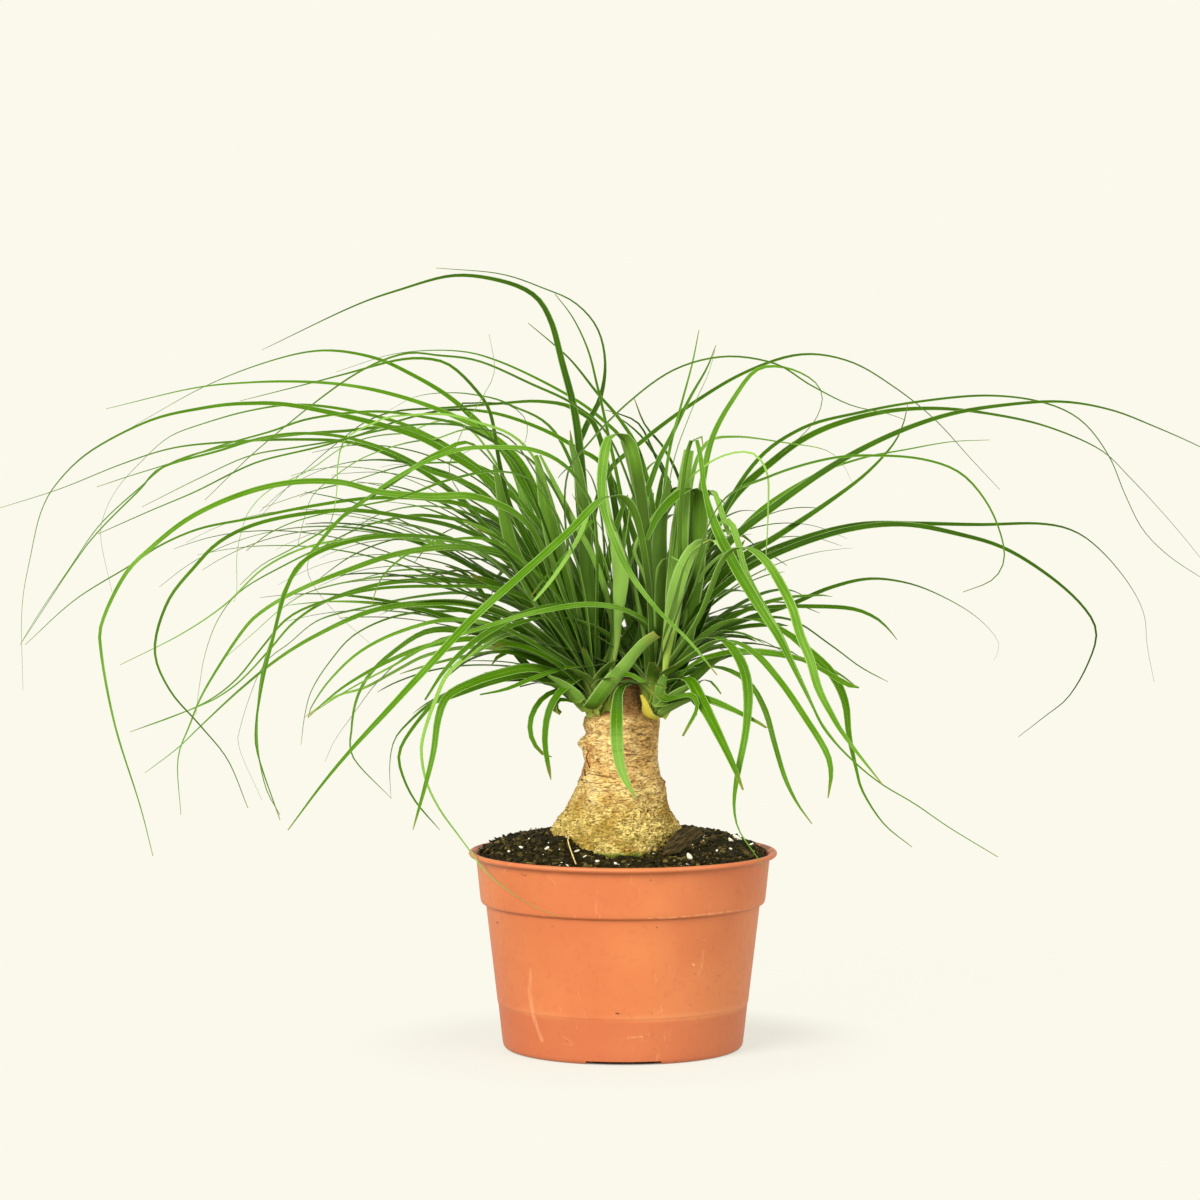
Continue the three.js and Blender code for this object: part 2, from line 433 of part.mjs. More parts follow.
function leaf(row, meetsShoot = true) {
  const [, width, , roll, , { facing, widths } = {}] = row;
  const curve = leafLine(row, meetsShoot);
  const steps = facing
    ? Math.round(curve.getLength() / LEAF_STEP_FACING)
    : THREE.MathUtils.clamp(Math.round(curve.getLength() / LEAF_STEP), LEAF_STEPS_LEAST, LEAF_STEPS_MOST);
  const middles = curve.getSpacedPoints(steps);
  const ways = middles.map((middle) => middle.clone().sub(middles[0]).setZ(0));
  const heading = ways.reduce((far, way) => (way.length() > far.length() ? way : far)).normalize();
  const across = facing
    ? new THREE.Vector3(-1, 0, 0)
    : new THREE.Vector3(heading.y, -heading.x, 0);
  const lean = facing ? 0 : THREE.MathUtils.degToRad(roll);
  const narrowing = between(LEAF_NARROWING, curve.getLength());
  const places = widths && widthPlaces(curve, widths);
  const tangents = middles.map((_, i) => curve.getTangentAt(i / steps));
  const square = (way, tangent) => way.clone().addScaledVector(tangent, -way.dot(tangent)).normalize();
  let flats = tangents.map((tangent) => square(across, tangent));
  for (let round = 0; facing && round < LEAF_SETTLING; round += 1) {
    flats = flats.map((flat, i) => {
      const [before, after] = [flats[Math.max(0, i - 1)], flats[Math.min(steps, i + 1)]];
      return square(flat.clone().add(before).add(after), tangents[i]);
    });
  }
  const rings = middles.map((middle, i) => {
    const along = i / steps;
    const tangent = tangents[i];
    const flat = flats[i].clone();
    const up = tangent.clone().cross(flat);
    const side = flat.multiplyScalar(Math.cos(lean)).addScaledVector(up, Math.sin(lean)).normalize();
    const face = tangent.clone().cross(side);
    const foot = Math.min(1, LEAF_FOOT + along / 0.3);
    const wide = widths ? between(places, along) : width * foot * (1 - along) ** narrowing;
    const half = wide / 2 + LEAF_TIP / 2;
    const thick = (LEAF_THICKNESS * (1 - 0.5 * along)) / 2;
    const edge = middle.clone().addScaledVector(face, half * 2 * LEAF_FOLD);
    return [
      edge.clone().addScaledVector(side, -half),
      middle.clone().addScaledVector(face, -thick),
      edge.clone().addScaledVector(side, half),
      middle.clone().addScaledVector(face, thick),
    ];
  });
  return skin(middles[0], rings, middles[steps]);
}

function chip() {
  const geometry = new THREE.BoxGeometry(...CHIP.size);
  const along = new THREE.Vector3(...CHIP.along).normalize();
  const level = new THREE.Vector3(along.y, -along.x, 0).normalize();
  const above = level.clone().cross(along);
  const lean = THREE.MathUtils.degToRad(CHIP.lean);
  const up = above.clone().multiplyScalar(Math.cos(lean)).addScaledVector(level, Math.sin(lean));
  const side = along.clone().cross(up);
  geometry.applyMatrix4(new THREE.Matrix4().makeBasis(along, up, side));
  geometry.translate(...CHIP.at);
  return geometry;
}

add("pot", pot(), material(0xec8a54, 0.5));
add("potting_soil", soil(), material(0x2e261f, 0.95));
add("trunk", trunk(), material(0xd2b27a, 0.85));
for (const stem of Object.values(SHOOTS)) {
  add(stem.name, shoot(stem), material(0xa9b85a, 0.6));
}
LEAVES.forEach((row, i) => {
  const name = `leaf_${String(i + 1).padStart(2, "0")}`;
  add(name, leaf(row), material(i % 3 ? 0x5f8a2c : 0x7fa544, 0.5));
});
add("dry_leaf_base", leaf(DRY_BASE, false), material(0xd6bb3c, 0.7));
add("bark_chip", chip(), material(0x4a3a2a, 0.9));

export default object;
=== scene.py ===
import math
import random

import bpy
import numpy as np
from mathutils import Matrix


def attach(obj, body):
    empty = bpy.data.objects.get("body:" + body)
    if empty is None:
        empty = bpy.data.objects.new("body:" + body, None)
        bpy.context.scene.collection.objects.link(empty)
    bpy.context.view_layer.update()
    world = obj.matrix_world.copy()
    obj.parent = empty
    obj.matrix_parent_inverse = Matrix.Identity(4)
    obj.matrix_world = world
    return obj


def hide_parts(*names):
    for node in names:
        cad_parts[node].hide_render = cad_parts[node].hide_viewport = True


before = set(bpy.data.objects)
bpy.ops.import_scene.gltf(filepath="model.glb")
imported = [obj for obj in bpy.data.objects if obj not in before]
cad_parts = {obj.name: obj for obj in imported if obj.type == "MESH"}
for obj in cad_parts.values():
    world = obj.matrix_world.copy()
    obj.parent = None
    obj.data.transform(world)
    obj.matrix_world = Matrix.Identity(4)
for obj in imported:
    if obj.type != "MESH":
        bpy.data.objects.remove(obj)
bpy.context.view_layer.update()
mm = 0.001
print("frame loaded")


def paint(red, green, blue):  # a screen colour, 0 to 255, as Blender's own
    parts = [value / 255 for value in (red, green, blue)]
    return tuple(v / 12.92 if v <= 0.04045 else ((v + 0.055) / 1.055) ** 2.4 for v in parts) + (1,)


class Wire:  # one output socket; sums on it add Math nodes
    def __init__(self, maker, socket):
        self.maker = maker
        self.socket = socket

    def sum(self, operation, first, second=0.0):
        return self.maker.node("ShaderNodeMath", {"operation": operation}, {0: first, 1: second})

    def __add__(self, other):
        return self.sum("ADD", self, other)

    def __radd__(self, other):
        return self.sum("ADD", other, self)

    def __sub__(self, other):
        return self.sum("SUBTRACT", self, other)

    def __rsub__(self, other):
        return self.sum("SUBTRACT", other, self)

    def __mul__(self, other):
        return self.sum("MULTIPLY", self, other)

    def __rmul__(self, other):
        return self.sum("MULTIPLY", other, self)

    def __truediv__(self, other):
        return self.sum("DIVIDE", self, other)

    def __pow__(self, other):
        return self.sum("POWER", self, other)

    def __abs__(self):
        return self.sum("ABSOLUTE", self)

    def atLeast(self, other):
        return self.sum("MAXIMUM", self, other)

    def atMost(self, other):
        return self.sum("MINIMUM", self, other)


def socketOf(sockets, name):  # by its number, or by its name among those in use
    if isinstance(name, int):
        return sockets[name]
    return next(socket for socket in sockets if socket.name == name and socket.enabled)


class Maker:  # adds nodes to one tree
    def __init__(self, tree):
        self.tree = tree

    def node(self, kind, settings=None, inputs=None, output=0):
        made = self.tree.nodes.new(kind)
        for name, value in (settings or {}).items():
            if name == "stops":
                while len(made.color_ramp.elements) < len(value):
                    made.color_ramp.elements.new(0.5)
                for element, (place, colour) in zip(made.color_ramp.elements, value):
                    element.position = place
                    element.color = colour
            else:
                setattr(made, name, value)
        for name, value in (inputs or {}).items():
            socket = socketOf(made.inputs, name)
            if isinstance(value, Wire):
                self.tree.links.new(value.socket, socket)
            else:
                socket.default_value = value
        return Wire(self, socketOf(made.outputs, output)) if made.outputs else None

    def step(self, value, low, high):  # 0 below low, 1 above high, smooth between
        return self.node("ShaderNodeMapRange", {"interpolation_type": "SMOOTHSTEP"},
                         {"Value": value, "From Min": low, "From Max": high})

    def noise(self, vector, scale, detail=2.0, roughness=0.5):
        return self.node("ShaderNodeTexNoise", None, {
            "Vector": vector, "Scale": scale, "Detail": detail, "Roughness": roughness})

    def cells(self, vector, scale, feature="F1"):
        return self.node("ShaderNodeTexVoronoi", {"feature": feature},
                         {"Vector": vector, "Scale": scale}, "Distance")

    def stretch(self, vector, factors):
        return self.node("ShaderNodeVectorMath", {"operation": "MULTIPLY"}, {0: vector, 1: factors})

    def plus(self, first, second):
        return self.node("ShaderNodeVectorMath", {"operation": "ADD"}, {0: first, 1: second})

    def scaled(self, vector, factor):
        return self.node("ShaderNodeVectorMath", {"operation": "SCALE"},
                         {0: vector, "Scale": factor})

    def parts(self, vector):
        made = self.tree.nodes.new("ShaderNodeSeparateXYZ")
        self.tree.links.new(vector.socket, made.inputs[0])
        return [Wire(self, socket) for socket in made.outputs]

    def vector(self, x, y, z):
        return self.node("ShaderNodeCombineXYZ", None, {0: x, 1: y, 2: z})

    def mix(self, factor, first, second, kind="RGBA"):
        return self.node("ShaderNodeMix", {"data_type": kind},
                         {"Factor": factor, "A": first, "B": second}, "Result")

    def layered(self, colour, *coats):  # each coat: where it lies, and its colour
        for there, coat in coats:
            colour = self.mix(there, colour, coat)
        return colour

    def ramp(self, value, stops):
        return self.node("ShaderNodeValToRGB", {"stops": stops}, {0: value})


class Finish(Maker):  # a material with one Principled shader
    def __init__(self, name, **constants):
        self.material = bpy.data.materials.new(name)
        self.material.use_nodes = True
        super().__init__(self.material.node_tree)
        self.shader = self.tree.nodes["Principled BSDF"]
        for label, value in constants.items():
            self.shader.inputs[label.replace("_", " ")].default_value = value

    def place(self):
        return self.node("ShaderNodeTexCoord", None, None, "Object")

    def own(self, name):  # a number kept on the piece's own points
        return self.node("ShaderNodeAttribute", {"attribute_name": name}, None, "Fac")

    def drive(self, label, wire):
        self.tree.links.new(wire.socket, self.shader.inputs[label])

    def bump(self, height, distance, strength=1.0):
        self.drive("Normal", self.node("ShaderNodeBump", None, {
            "Height": height, "Distance": distance, "Strength": strength}))


class Growth(Maker):  # a Geometry Nodes tree with named sizes
    def __init__(self, name, sizes):
        super().__init__(bpy.data.node_groups.new(name, "GeometryNodeTree"))
        sockets = self.tree.interface
        sockets.new_socket("Geometry", in_out="INPUT", socket_type="NodeSocketGeometry")
        sockets.new_socket("Geometry", in_out="OUTPUT", socket_type="NodeSocketGeometry")
        for label, kind in sizes.items():
            sockets.new_socket(label, in_out="INPUT", socket_type="NodeSocket" + kind)
        self.entry = self.tree.nodes.new("NodeGroupInput")

    def given(self, label):
        return Wire(self, self.entry.outputs[label])

    def position(self):
        return self.node("GeometryNodeInputPosition")

    def keep(self, geometry, name, value, kind="FLOAT", domain="POINT"):
        return self.node("GeometryNodeStoreNamedAttribute", {"data_type": kind, "domain": domain},
                         {"Geometry": geometry, "Name": name, "Value": value})

    def own(self, name, kind="FLOAT"):
        return self.node("GeometryNodeInputNamedAttribute", {"data_type": kind}, {"Name": name})

    def end(self, geometry):
        whole = self.node("GeometryNodeRealizeInstances", None, {0: geometry})
        shown = self.node("GeometryNodeSetMaterial", None,
                          {"Geometry": whole, "Material": self.given("Finish")})
        self.node("NodeGroupOutput", None, {0: shown})

    def grow(self, name, mesh, sizes):  # runs the tree on a mesh and gives a plain object
        source = placed(name + ".source", mesh)
        modifier = source.modifiers.new("growth", "NODES")
        modifier.node_group = self.tree
        for item in self.tree.interface.items_tree:
            if item.in_out == "INPUT" and item.name in sizes:
                modifier[item.identifier] = sizes[item.name]
        graph = bpy.context.evaluated_depsgraph_get()
        plain = bpy.data.meshes.new_from_object(
            source.evaluated_get(graph), preserve_all_data_layers=True, depsgraph=graph)
        bpy.data.objects.remove(source)
        plain.name = name
        return placed(name, plain)


def placed(name, data):
    thing = bpy.data.objects.new(name, data)
    bpy.context.scene.collection.objects.link(thing)
    return thing


def keepOn(mesh, name, values):  # one number or vector for each point of the mesh
    values = np.asarray(values, "f")
    kind, label = ("FLOAT", "value") if values.ndim == 1 else ("FLOAT_VECTOR", "vector")
    mesh.attributes.new(name, kind, "POINT").data.foreach_set(label, values.ravel())


def between(rows, place):  # a table's value at a place, in straight lines
    ordered = sorted(rows)
    return float(np.interp(place, [row[0] for row in ordered], [row[1] for row in ordered]))


def closedSkin(name, rings):  # rings of equally many points in mm, a fan to the middle at each end
    rings = np.asarray(rings, float)
    levels, count = rings.shape[:2]
    points = np.vstack([rings.reshape(-1, 3), rings[0].mean(0), rings[-1].mean(0)]) * mm
    faces = []
    for i in range(levels - 1):
        for j in range(count):
            k = (j + 1) % count
            faces.append((i * count + j, i * count + k, (i + 1) * count + k, (i + 1) * count + j))
    first, last = levels * count, levels * count + 1
    for j in range(count):
        k = (j + 1) % count
        faces.append((first, k, j))
        faces.append((last, (levels - 1) * count + j, (levels - 1) * count + k))
    mesh = bpy.data.meshes.new(name)
    mesh.from_pydata(points.tolist(), [], faces)
    mesh.shade_smooth()
    return mesh


def shown(name, mesh, finish):
    mesh.materials.clear()
    mesh.materials.append(finish)
    return placed(name, mesh)


def settled(piece, slot, *nodes):  # hangs every piece under the root body, and hides the CAD nodes that it replaces
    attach(piece, "root")
    if nodes:
        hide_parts(*nodes)


def rounded(rows, steps):  # a section of (radius, height, fillet) with its corners rounded
    points = [np.array(row[:2], float) for row in rows]
    section = []
    for i, row in enumerate(rows):
        here = points[i]
        if i in (0, len(rows) - 1) or not row[2]:
            section.append(here)
            continue
        back, ahead = points[i - 1] - here, points[i + 1] - here
        reach = min(row[2], np.linalg.norm(back) * 0.48, np.linalg.norm(ahead) * 0.48)
        start = here + back / np.linalg.norm(back) * reach
        stop = here + ahead / np.linalg.norm(ahead) * reach
        for t in np.linspace(0, 1, steps):
            section.append((1 - t) ** 2 * start + 2 * t * (1 - t) * here + t ** 2 * stop)
    return section


def roundTurns(facets):
    return np.linspace(0, 2 * math.pi, facets, endpoint=False)


def turned(section, facets, at=(0, 0, 0)):  # the rings of a section that is turned round an axis
    x, y, z = at
    return [[(x + radius * math.cos(t), y + radius * math.sin(t), z + height)
             for t in roundTurns(facets)] for radius, height in section]


# The plant as it is seen from in front, 2.1 m away: a point is given across and up, in
# millimetres from the foot of the pot's axis, and then how far it lies behind that axis.
# "slant" is how much higher a point is seen for each millimetre that it lies further behind.
sight = {
    "eye": (-11.5, -2120, 346), "lookDown": 3.278, "distance": 2125, "across": 11.5, "up": -223,
    "slant": 0.092,
}

shoots = {  # where each stands on the trunk, and its size
    "left": ((-14.6, -5.2, 166.4), 1),
    "right": ((14.6, -5.2, 166.4), 1),
    "backLeft": ((-9.4, 13, 166.4), 0.88),
    "backRight": ((9.4, 13, 166.4), 0.88),
}
# The round body of a shoot of size 1: its half width, half height and middle. A leaf starts
# inside it, at "foot", and leaves it "proud" of its surface.
shootShape = {"radius": 9.5, "rise": 10.7, "heart": 13.5, "foot": (2.2, 1.5, 5), "proud": 0.35}

# Each leaf: shoot, width, how far its tip lies behind the axis, roll of the blade in degrees,
# lightness from 0 to 1, and its line. These fifty are the leaves of the CAD model, in its order.
leafRows = [
    ("backLeft", 6.5, 40, 50, 0.15, [(-17.5, 243), (-23, 308), (-31, 343), (-36.5, 363),
     (-45, 375.5), (-61.5, 382.5), (-85, 385), (-111.5, 378), (-136.5, 369), (-180.5, 348)]),
    ("backLeft", 4, 110, 30, 0.2, [(-20, 243), (-23.5, 290.5), (-19, 309), (-11.5, 324), (-9, 342),
     (-13, 359), (-24, 371.5), (-39, 378.5), (-61.5, 386), (-93.5, 389)]),
    ("backRight", 4, 150, 35, 0.35, [(20.5, 223), (14.5, 263), (3.5, 297), (-11.5, 314),
     (-31.5, 327.5), (-61.5, 342), (-84, 347.5), (-114, 346), (-143.5, 337)]),
    ("backRight", 4, -60, 35, 0.3, [(16, 223), (8.5, 263), (-6.5, 303), (-24, 320), (-46.5, 331),
     (-71.5, 342), (-91.5, 345), (-111.5, 345.5), (-139, 332.5), (-180.5, 300), (-209, 273)]),
    ("backLeft", 5.5, 190, 40, 0.35, [(-26.5, 228), (-41.5, 268), (-61.5, 299.5), (-84, 322),
     (-106.5, 336), (-126.5, 344.5), (-151.5, 347.5), (-179, 341.5), (-211.5, 328.5),
     (-250.5, 306.5)]),
    ("backLeft", 6, 86, 45, 0.45, [(-30.5, 238), (-46.5, 283), (-63, 303), (-86.5, 315.5),
     (-111.5, 324.5), (-136.5, 330), (-161.5, 332), (-189, 331.5), (-216.5, 328.5),
     (-258.5, 318.5)]),
    ("left", 6, -35, 40, 0.3, [(-30.5, 218), (-54, 263), (-61.5, 288), (-66.5, 315.5), (-74, 328),
     (-86.5, 340), (-99, 343.5), (-114, 342.5), (-136.5, 336.5), (-161.5, 330), (-191.5, 322.5)]),
    ("left", 5, 60, 40, 0.4, [(-35.5, 228), (-61.5, 275.5), (-86.5, 295.5), (-111.5, 307.5),
     (-161.5, 319.5), (-189, 321), (-211.5, 318.5), (-236.5, 312.5), (-265, 298), (-281.5, 283),
     (-290.5, 268), (-296, 245.5), (-300.5, 218), (-300, 178)]),
    ("backLeft", 4, 175, 35, 0.35, [(-39, 238), (-71.5, 285.5), (-101.5, 307), (-131.5, 316.5),
     (-161.5, 320.5), (-186.5, 317.5), (-211.5, 310.5), (-227.5, 304), (-241.5, 291.5),
     (-253, 278.5), (-259.5, 265.5), (-261, 253), (-255.5, 227)]),
    ("backLeft", 5, 150, 40, 0.3, [(-39, 218), (-71.5, 263), (-91.5, 281), (-111.5, 293),
     (-136.5, 301.5), (-166.5, 303), (-201.5, 301.5), (-226.5, 298.5), (-251.5, 290.5),
     (-281.5, 278.5), (-311.5, 269)]),
    ("left", 5, 5, 40, 0.45, [(-35.5, 223), (-66.5, 273), (-96.5, 287), (-116.5, 297), (-139, 304),
     (-161.5, 306), (-181.5, 303.5), (-201.5, 297.5), (-230.5, 289), (-241.5, 278), (-261.5, 258),
     (-274, 242), (-300.5, 202)]),
    ("backRight", 5, 95, 40, 0.4, [(12.5, 228), (-6.5, 284), (-24, 299), (-44, 309.5),
     (-66.5, 316.5), (-89, 317.5), (-111.5, 312.5), (-136.5, 304), (-161.5, 299.5), (-186.5, 295),
     (-211.5, 284), (-240.5, 269.5)]),
    ("left", 6, -168, 45, 0.5, [(-30.5, 213), (-46.5, 258), (-71.5, 273.5), (-96.5, 274.5),
     (-121.5, 276.5), (-141.5, 281.5), (-166.5, 281.5), (-191.5, 275.5), (-216.5, 264),
     (-236.5, 248.5), (-249, 235.5), (-260, 213), (-261, 198), (-254, 160.5), (-241.5, 120.5),
     (-235, 95)]),
    ("backLeft", 5.5, 20, 40, 0.35, [(-32.5, 208), (-51.5, 250.5), (-71.5, 267), (-96.5, 273),
     (-126.5, 273.5), (-156.5, 269.5), (-186.5, 263.5), (-211.5, 258.5), (-231.5, 250),
     (-246.5, 240), (-274, 223), (-299, 200.5)]),
    ("left", 5.5, -98, 40, 0.35, [(-32.5, 203), (-56.5, 243), (-81.5, 258), (-111.5, 264.5),
     (-136.5, 267.5), (-161.5, 265.5), (-184, 260.5), (-201.5, 252), (-214, 239.5), (-227.5, 222),
     (-234, 198), (-226.5, 178), (-211.5, 160.5), (-197.5, 143), (-187.5, 119)]),
    ("left", 4.5, -135, 35, 0.4, [(-22.5, 238), (-41.5, 278), (-61.5, 287), (-86.5, 283),
     (-111.5, 274), (-136.5, 269), (-161.5, 263), (-176.5, 256.5), (-188.5, 247.5)]),
    ("left", 5, -12, 35, 0.6, [(-36.5, 210.5), (-66.5, 243), (-91.5, 250.5), (-116.5, 254),
     (-141.5, 252.5), (-161.5, 248), (-180.5, 238), (-199, 220.5), (-221.5, 205.5),
     (-251.5, 190.5)]),
    ("left", 6, -62, 40, 0.6, [(-30.5, 210.5), (-51.5, 242), (-81.5, 249), (-111.5, 246),
     (-136.5, 238), (-161.5, 228), (-180.5, 217), (-191.5, 205.5), (-209, 178), (-216.5, 160.5),
     (-222.5, 143), (-221, 115.5)]),
    ("backLeft", 6, 60, 40, 0.5, [(-27.5, 203), (-46.5, 224), (-71.5, 231), (-96.5, 232.5),
     (-121.5, 230.5), (-146.5, 223), (-164, 212), (-176.5, 198), (-189, 184.5), (-199, 176.5),
     (-211.5, 170), (-246.5, 157)]),
    ("backLeft", 5, 190, 40, 0.45, [(-30.5, 200.5), (-51.5, 219), (-76.5, 226), (-101.5, 224.5),
     (-126.5, 219.5), (-151.5, 213), (-166.5, 201.5), (-180.5, 189), (-191, 160.5), (-191.5, 148),
     (-180.5, 123)]),
    ("left", 6, -25, 40, 0.5, [(-30.5, 195.5), (-51.5, 212), (-76.5, 220.5), (-101.5, 221),
     (-126.5, 217), (-151.5, 206), (-171.5, 194), (-191.5, 178), (-211.5, 159.5), (-222.5, 149),
     (-239, 136.5)]),
    ("left", 5.5, -185, 40, 0.4, [(-37.5, 213), (-71.5, 247), (-101.5, 254.5), (-131.5, 253),
     (-156.5, 244.5), (-167.5, 230.5), (-176.5, 198), (-180.5, 180.5), (-183.5, 160.5),
     (-182.5, 145.5), (-171.5, 113)]),
    ("left", 5, 60, 35, 0.5, [(-39, 182), (-54, 197), (-63, 214), (-72.5, 229), (-80.5, 237),
     (-89, 240)]),
    ("left", 6, 10, 40, 0.55, [(-33.5, 192), (-59, 203), (-81.5, 207.5), (-99, 206.5),
     (-115.5, 196), (-126.5, 185.5), (-133, 173), (-135.5, 158), (-134.5, 144), (-115.5, 123.5)]),
    ("left", 5, 45, 40, 0.5, [(-29, 179), (-46.5, 185), (-64, 182), (-86.5, 174), (-96.5, 170.5),
     (-106.5, 162), (-114, 153), (-116.5, 140.5), (-116, 124)]),
    ("left", 4.5, -20, 35, 0.4, [(-31.5, 182), (-49, 187), (-66.5, 184.5), (-84, 177), (-94, 171.5),
     (-105.5, 158), (-111.5, 147), (-110.5, 137), (-104, 123), (-91.5, 108)]),
    ("right", 6, -75, 10, 0.75, [(14.5, 223), (10, 268), (4.5, 298), (-1.5, 305), (-7.5, 302.5),
     (-10.5, 285.5), (-10, 270.5), (-5.5, 255.5), (2.5, 238), (16, 219.5), (33.5, 202),
     (47, 185.5)]),
    ("right", 6.5, -195, 50, 0.75, [(13.5, 223), (8.5, 258), (2.5, 272), (-5.5, 274.5), (-13, 271),
     (-26.5, 257), (-51.5, 234.5), (-76.5, 212), (-96.5, 190.5), (-116.5, 169), (-136.5, 147.5),
     (-151.5, 129.5), (-167.5, 108)]),
    ("left", 6, -60, 45, 0.5, [(-44, 188.5), (-61.5, 186), (-76.5, 181), (-88, 174.5), (-92.5, 163),
     (-94.5, 148), (-98, 133), (-105, 108)]),
    ("left", 4, 0, 20, 0.9, [(-51.5, 205, -27), (-71.5, 198, -33), (-86.5, 187, -34),
     (-93.5, 173, -34), (-99.5, 155.5, -33), (-100.5, 145.5, -32), (-98, 132, -30),
     (-91.5, 118.5, -28), (-82.5, 106, -27), (-75.5, 96.5, -29), (-68, 86.5, -38),
     (-55.5, 76.5, -51), (-43, 69, -61), (-31, 64.5, -67)]),
    ("left", 4.5, -29, 35, 0.45, [(-23, 183.5, -15), (-32.5, 175.5, -22), (-37.5, 165.5, -26),
     (-39, 153, -28), (-38, 144, -29), (-36, 133, -29)]),
    ("left", 8, -40, 30, 1, [(-16.5, 168.5, -18), (-11.5, 175, -21), (-6.5, 181.5, -22),
     (-0.5, 188, -23.5), (5, 195, -27), (11, 201.5, -32), (17, 205.5, -36)]),
    ("right", 7, -34, 20, 0.72, [(4, 181, -25), (-1.5, 178, -31), (-3, 167, -34), (-3, 153, -34),
     (-1.5, 140.5, -33), (2.5, 130.5, -33.5), (7, 123.5, -34)]),
    ("right", 6, -75, 40, 0.5, [(32.5, 183), (40, 170.5), (48.5, 154), (56, 138), (60, 128)]),
    ("right", 6.5, -75, 45, 0.5, [(28.5, 192), (38.5, 202.5), (49.5, 203), (58.5, 193), (62.5, 178),
     (61.5, 158), (57.5, 137), (55.5, 121.5), (57.5, 109), (64.5, 98), (72.5, 87)]),
    ("right", 6, -135, 40, 0.5, [(33.5, 194), (49.5, 202.5), (64.5, 197), (78.5, 182), (90, 165.5),
     (101, 148), (104, 137), (102.5, 124)]),
    ("right", 5, -40, 40, 0.5, [(33.5, 188), (48.5, 189), (62.5, 182), (71, 168), (76, 150.5),
     (81, 134), (87, 121.5), (94.5, 111)]),
    ("right", 6.5, -100, 10, 0.55, [(27.5, 223), (28.5, 263), (31.5, 293), (35.5, 304),
     (38.5, 295.5), (41, 277), (46.5, 259), (57.5, 237), (68.5, 219), (78.5, 203), (87, 185.5),
     (94.5, 170.5), (101, 158), (113.5, 144), (128.5, 131.5), (146, 121), (163.5, 109),
     (187.5, 94.5)]),
    ("right", 6.5, -150, 45, 0.55, [(37.5, 213), (49.5, 242), (59.5, 249), (69.5, 244), (77.5, 233),
     (84.5, 219), (88.5, 205.5), (93.5, 193), (97.5, 179), (103.5, 167), (111.5, 154),
     (129.5, 131)]),
    ("right", 6, -25, 40, 0.45, [(33.5, 199), (48.5, 210.5), (66, 213), (81, 207), (93.5, 197),
     (104.5, 186), (111, 172), (113, 155.5), (116.5, 139), (120, 127), (130.5, 111),
     (144.5, 99.5)]),
    ("backRight", 5.5, 45, 40, 0.3, [(33.5, 202), (51, 214.5), (71, 219), (93.5, 219.5),
     (113.5, 218.5), (125, 214.5), (132, 209), (137, 203)]),
    ("right", 6, -70, 40, 0.15, [(33.5, 213), (58.5, 235.5), (83.5, 248.5), (113.5, 258),
     (141, 260.5), (168.5, 255.5), (191, 248.5), (213.5, 234.5), (230, 219.5), (236.5, 206.5),
     (232, 190.5), (222.5, 174.5), (211, 165), (197.5, 154.5)]),
    ("backRight", 5, 90, 40, 0.15, [(36, 218), (61, 240.5), (88.5, 253), (118.5, 260.5),
     (148.5, 261), (178.5, 260.5), (208.5, 261), (226, 257), (240, 246.5), (253.5, 230),
     (260.5, 215.5), (262, 200.5), (265.5, 182)]),
    ("right", 6, 20, 40, 0.3, [(33.5, 213), (53.5, 239), (78.5, 255.5), (101, 270.5), (121, 285.5),
     (135, 300.5), (140.5, 312), (142.5, 322)]),
    ("right", 6, -10, 40, 0.2, [(31, 218), (51, 249), (78.5, 271.5), (106, 290.5), (133.5, 305),
     (161, 315), (188.5, 320), (218.5, 322), (243.5, 318), (266, 309.5), (288.5, 299.5),
     (302.5, 291.5), (313.5, 280.5)]),
    ("backRight", 5.5, 200, 40, 0.2, [(33.5, 223), (51, 268), (76, 293), (98.5, 307.5),
     (128.5, 316.5), (158.5, 318.5), (188.5, 315), (213.5, 309), (238.5, 298), (253.5, 284),
     (268.5, 268), (283.5, 250.5), (294.5, 235.5), (301, 218)]),
    ("backLeft", 5, 72, 40, 0.25, [(-16.5, 243), (-9, 283), (8.5, 301), (33.5, 320), (61, 336.5),
     (88.5, 345.5), (113.5, 342), (136, 329), (156, 313), (173.5, 294), (188.5, 278)]),
    ("left", 5, -50, 35, 0.3, [(-26.5, 243), (-28, 283), (-16.5, 301.5), (3.5, 322), (26, 338),
     (51, 344.5), (76, 341), (93.5, 330.5), (113.5, 320.5), (131, 316.5), (141, 313)]),
    ("backRight", 6.5, 60, 45, 0.5, [(28.5, 223), (38.5, 273), (44.5, 303), (56, 324.5), (67, 338),
     (81, 339), (94.5, 333), (99.5, 324.5), (96, 313), (87, 303), (78.5, 295.5)]),
    ("right", 4.5, -190, 40, 0.4, [(33.5, 233), (48.5, 270.5), (73.5, 284.5), (103.5, 293.5),
     (128.5, 295), (151, 293), (168.5, 286.5), (181, 273), (188.5, 257), (190.5, 243), (184.5, 233),
     (170, 227)]),
]
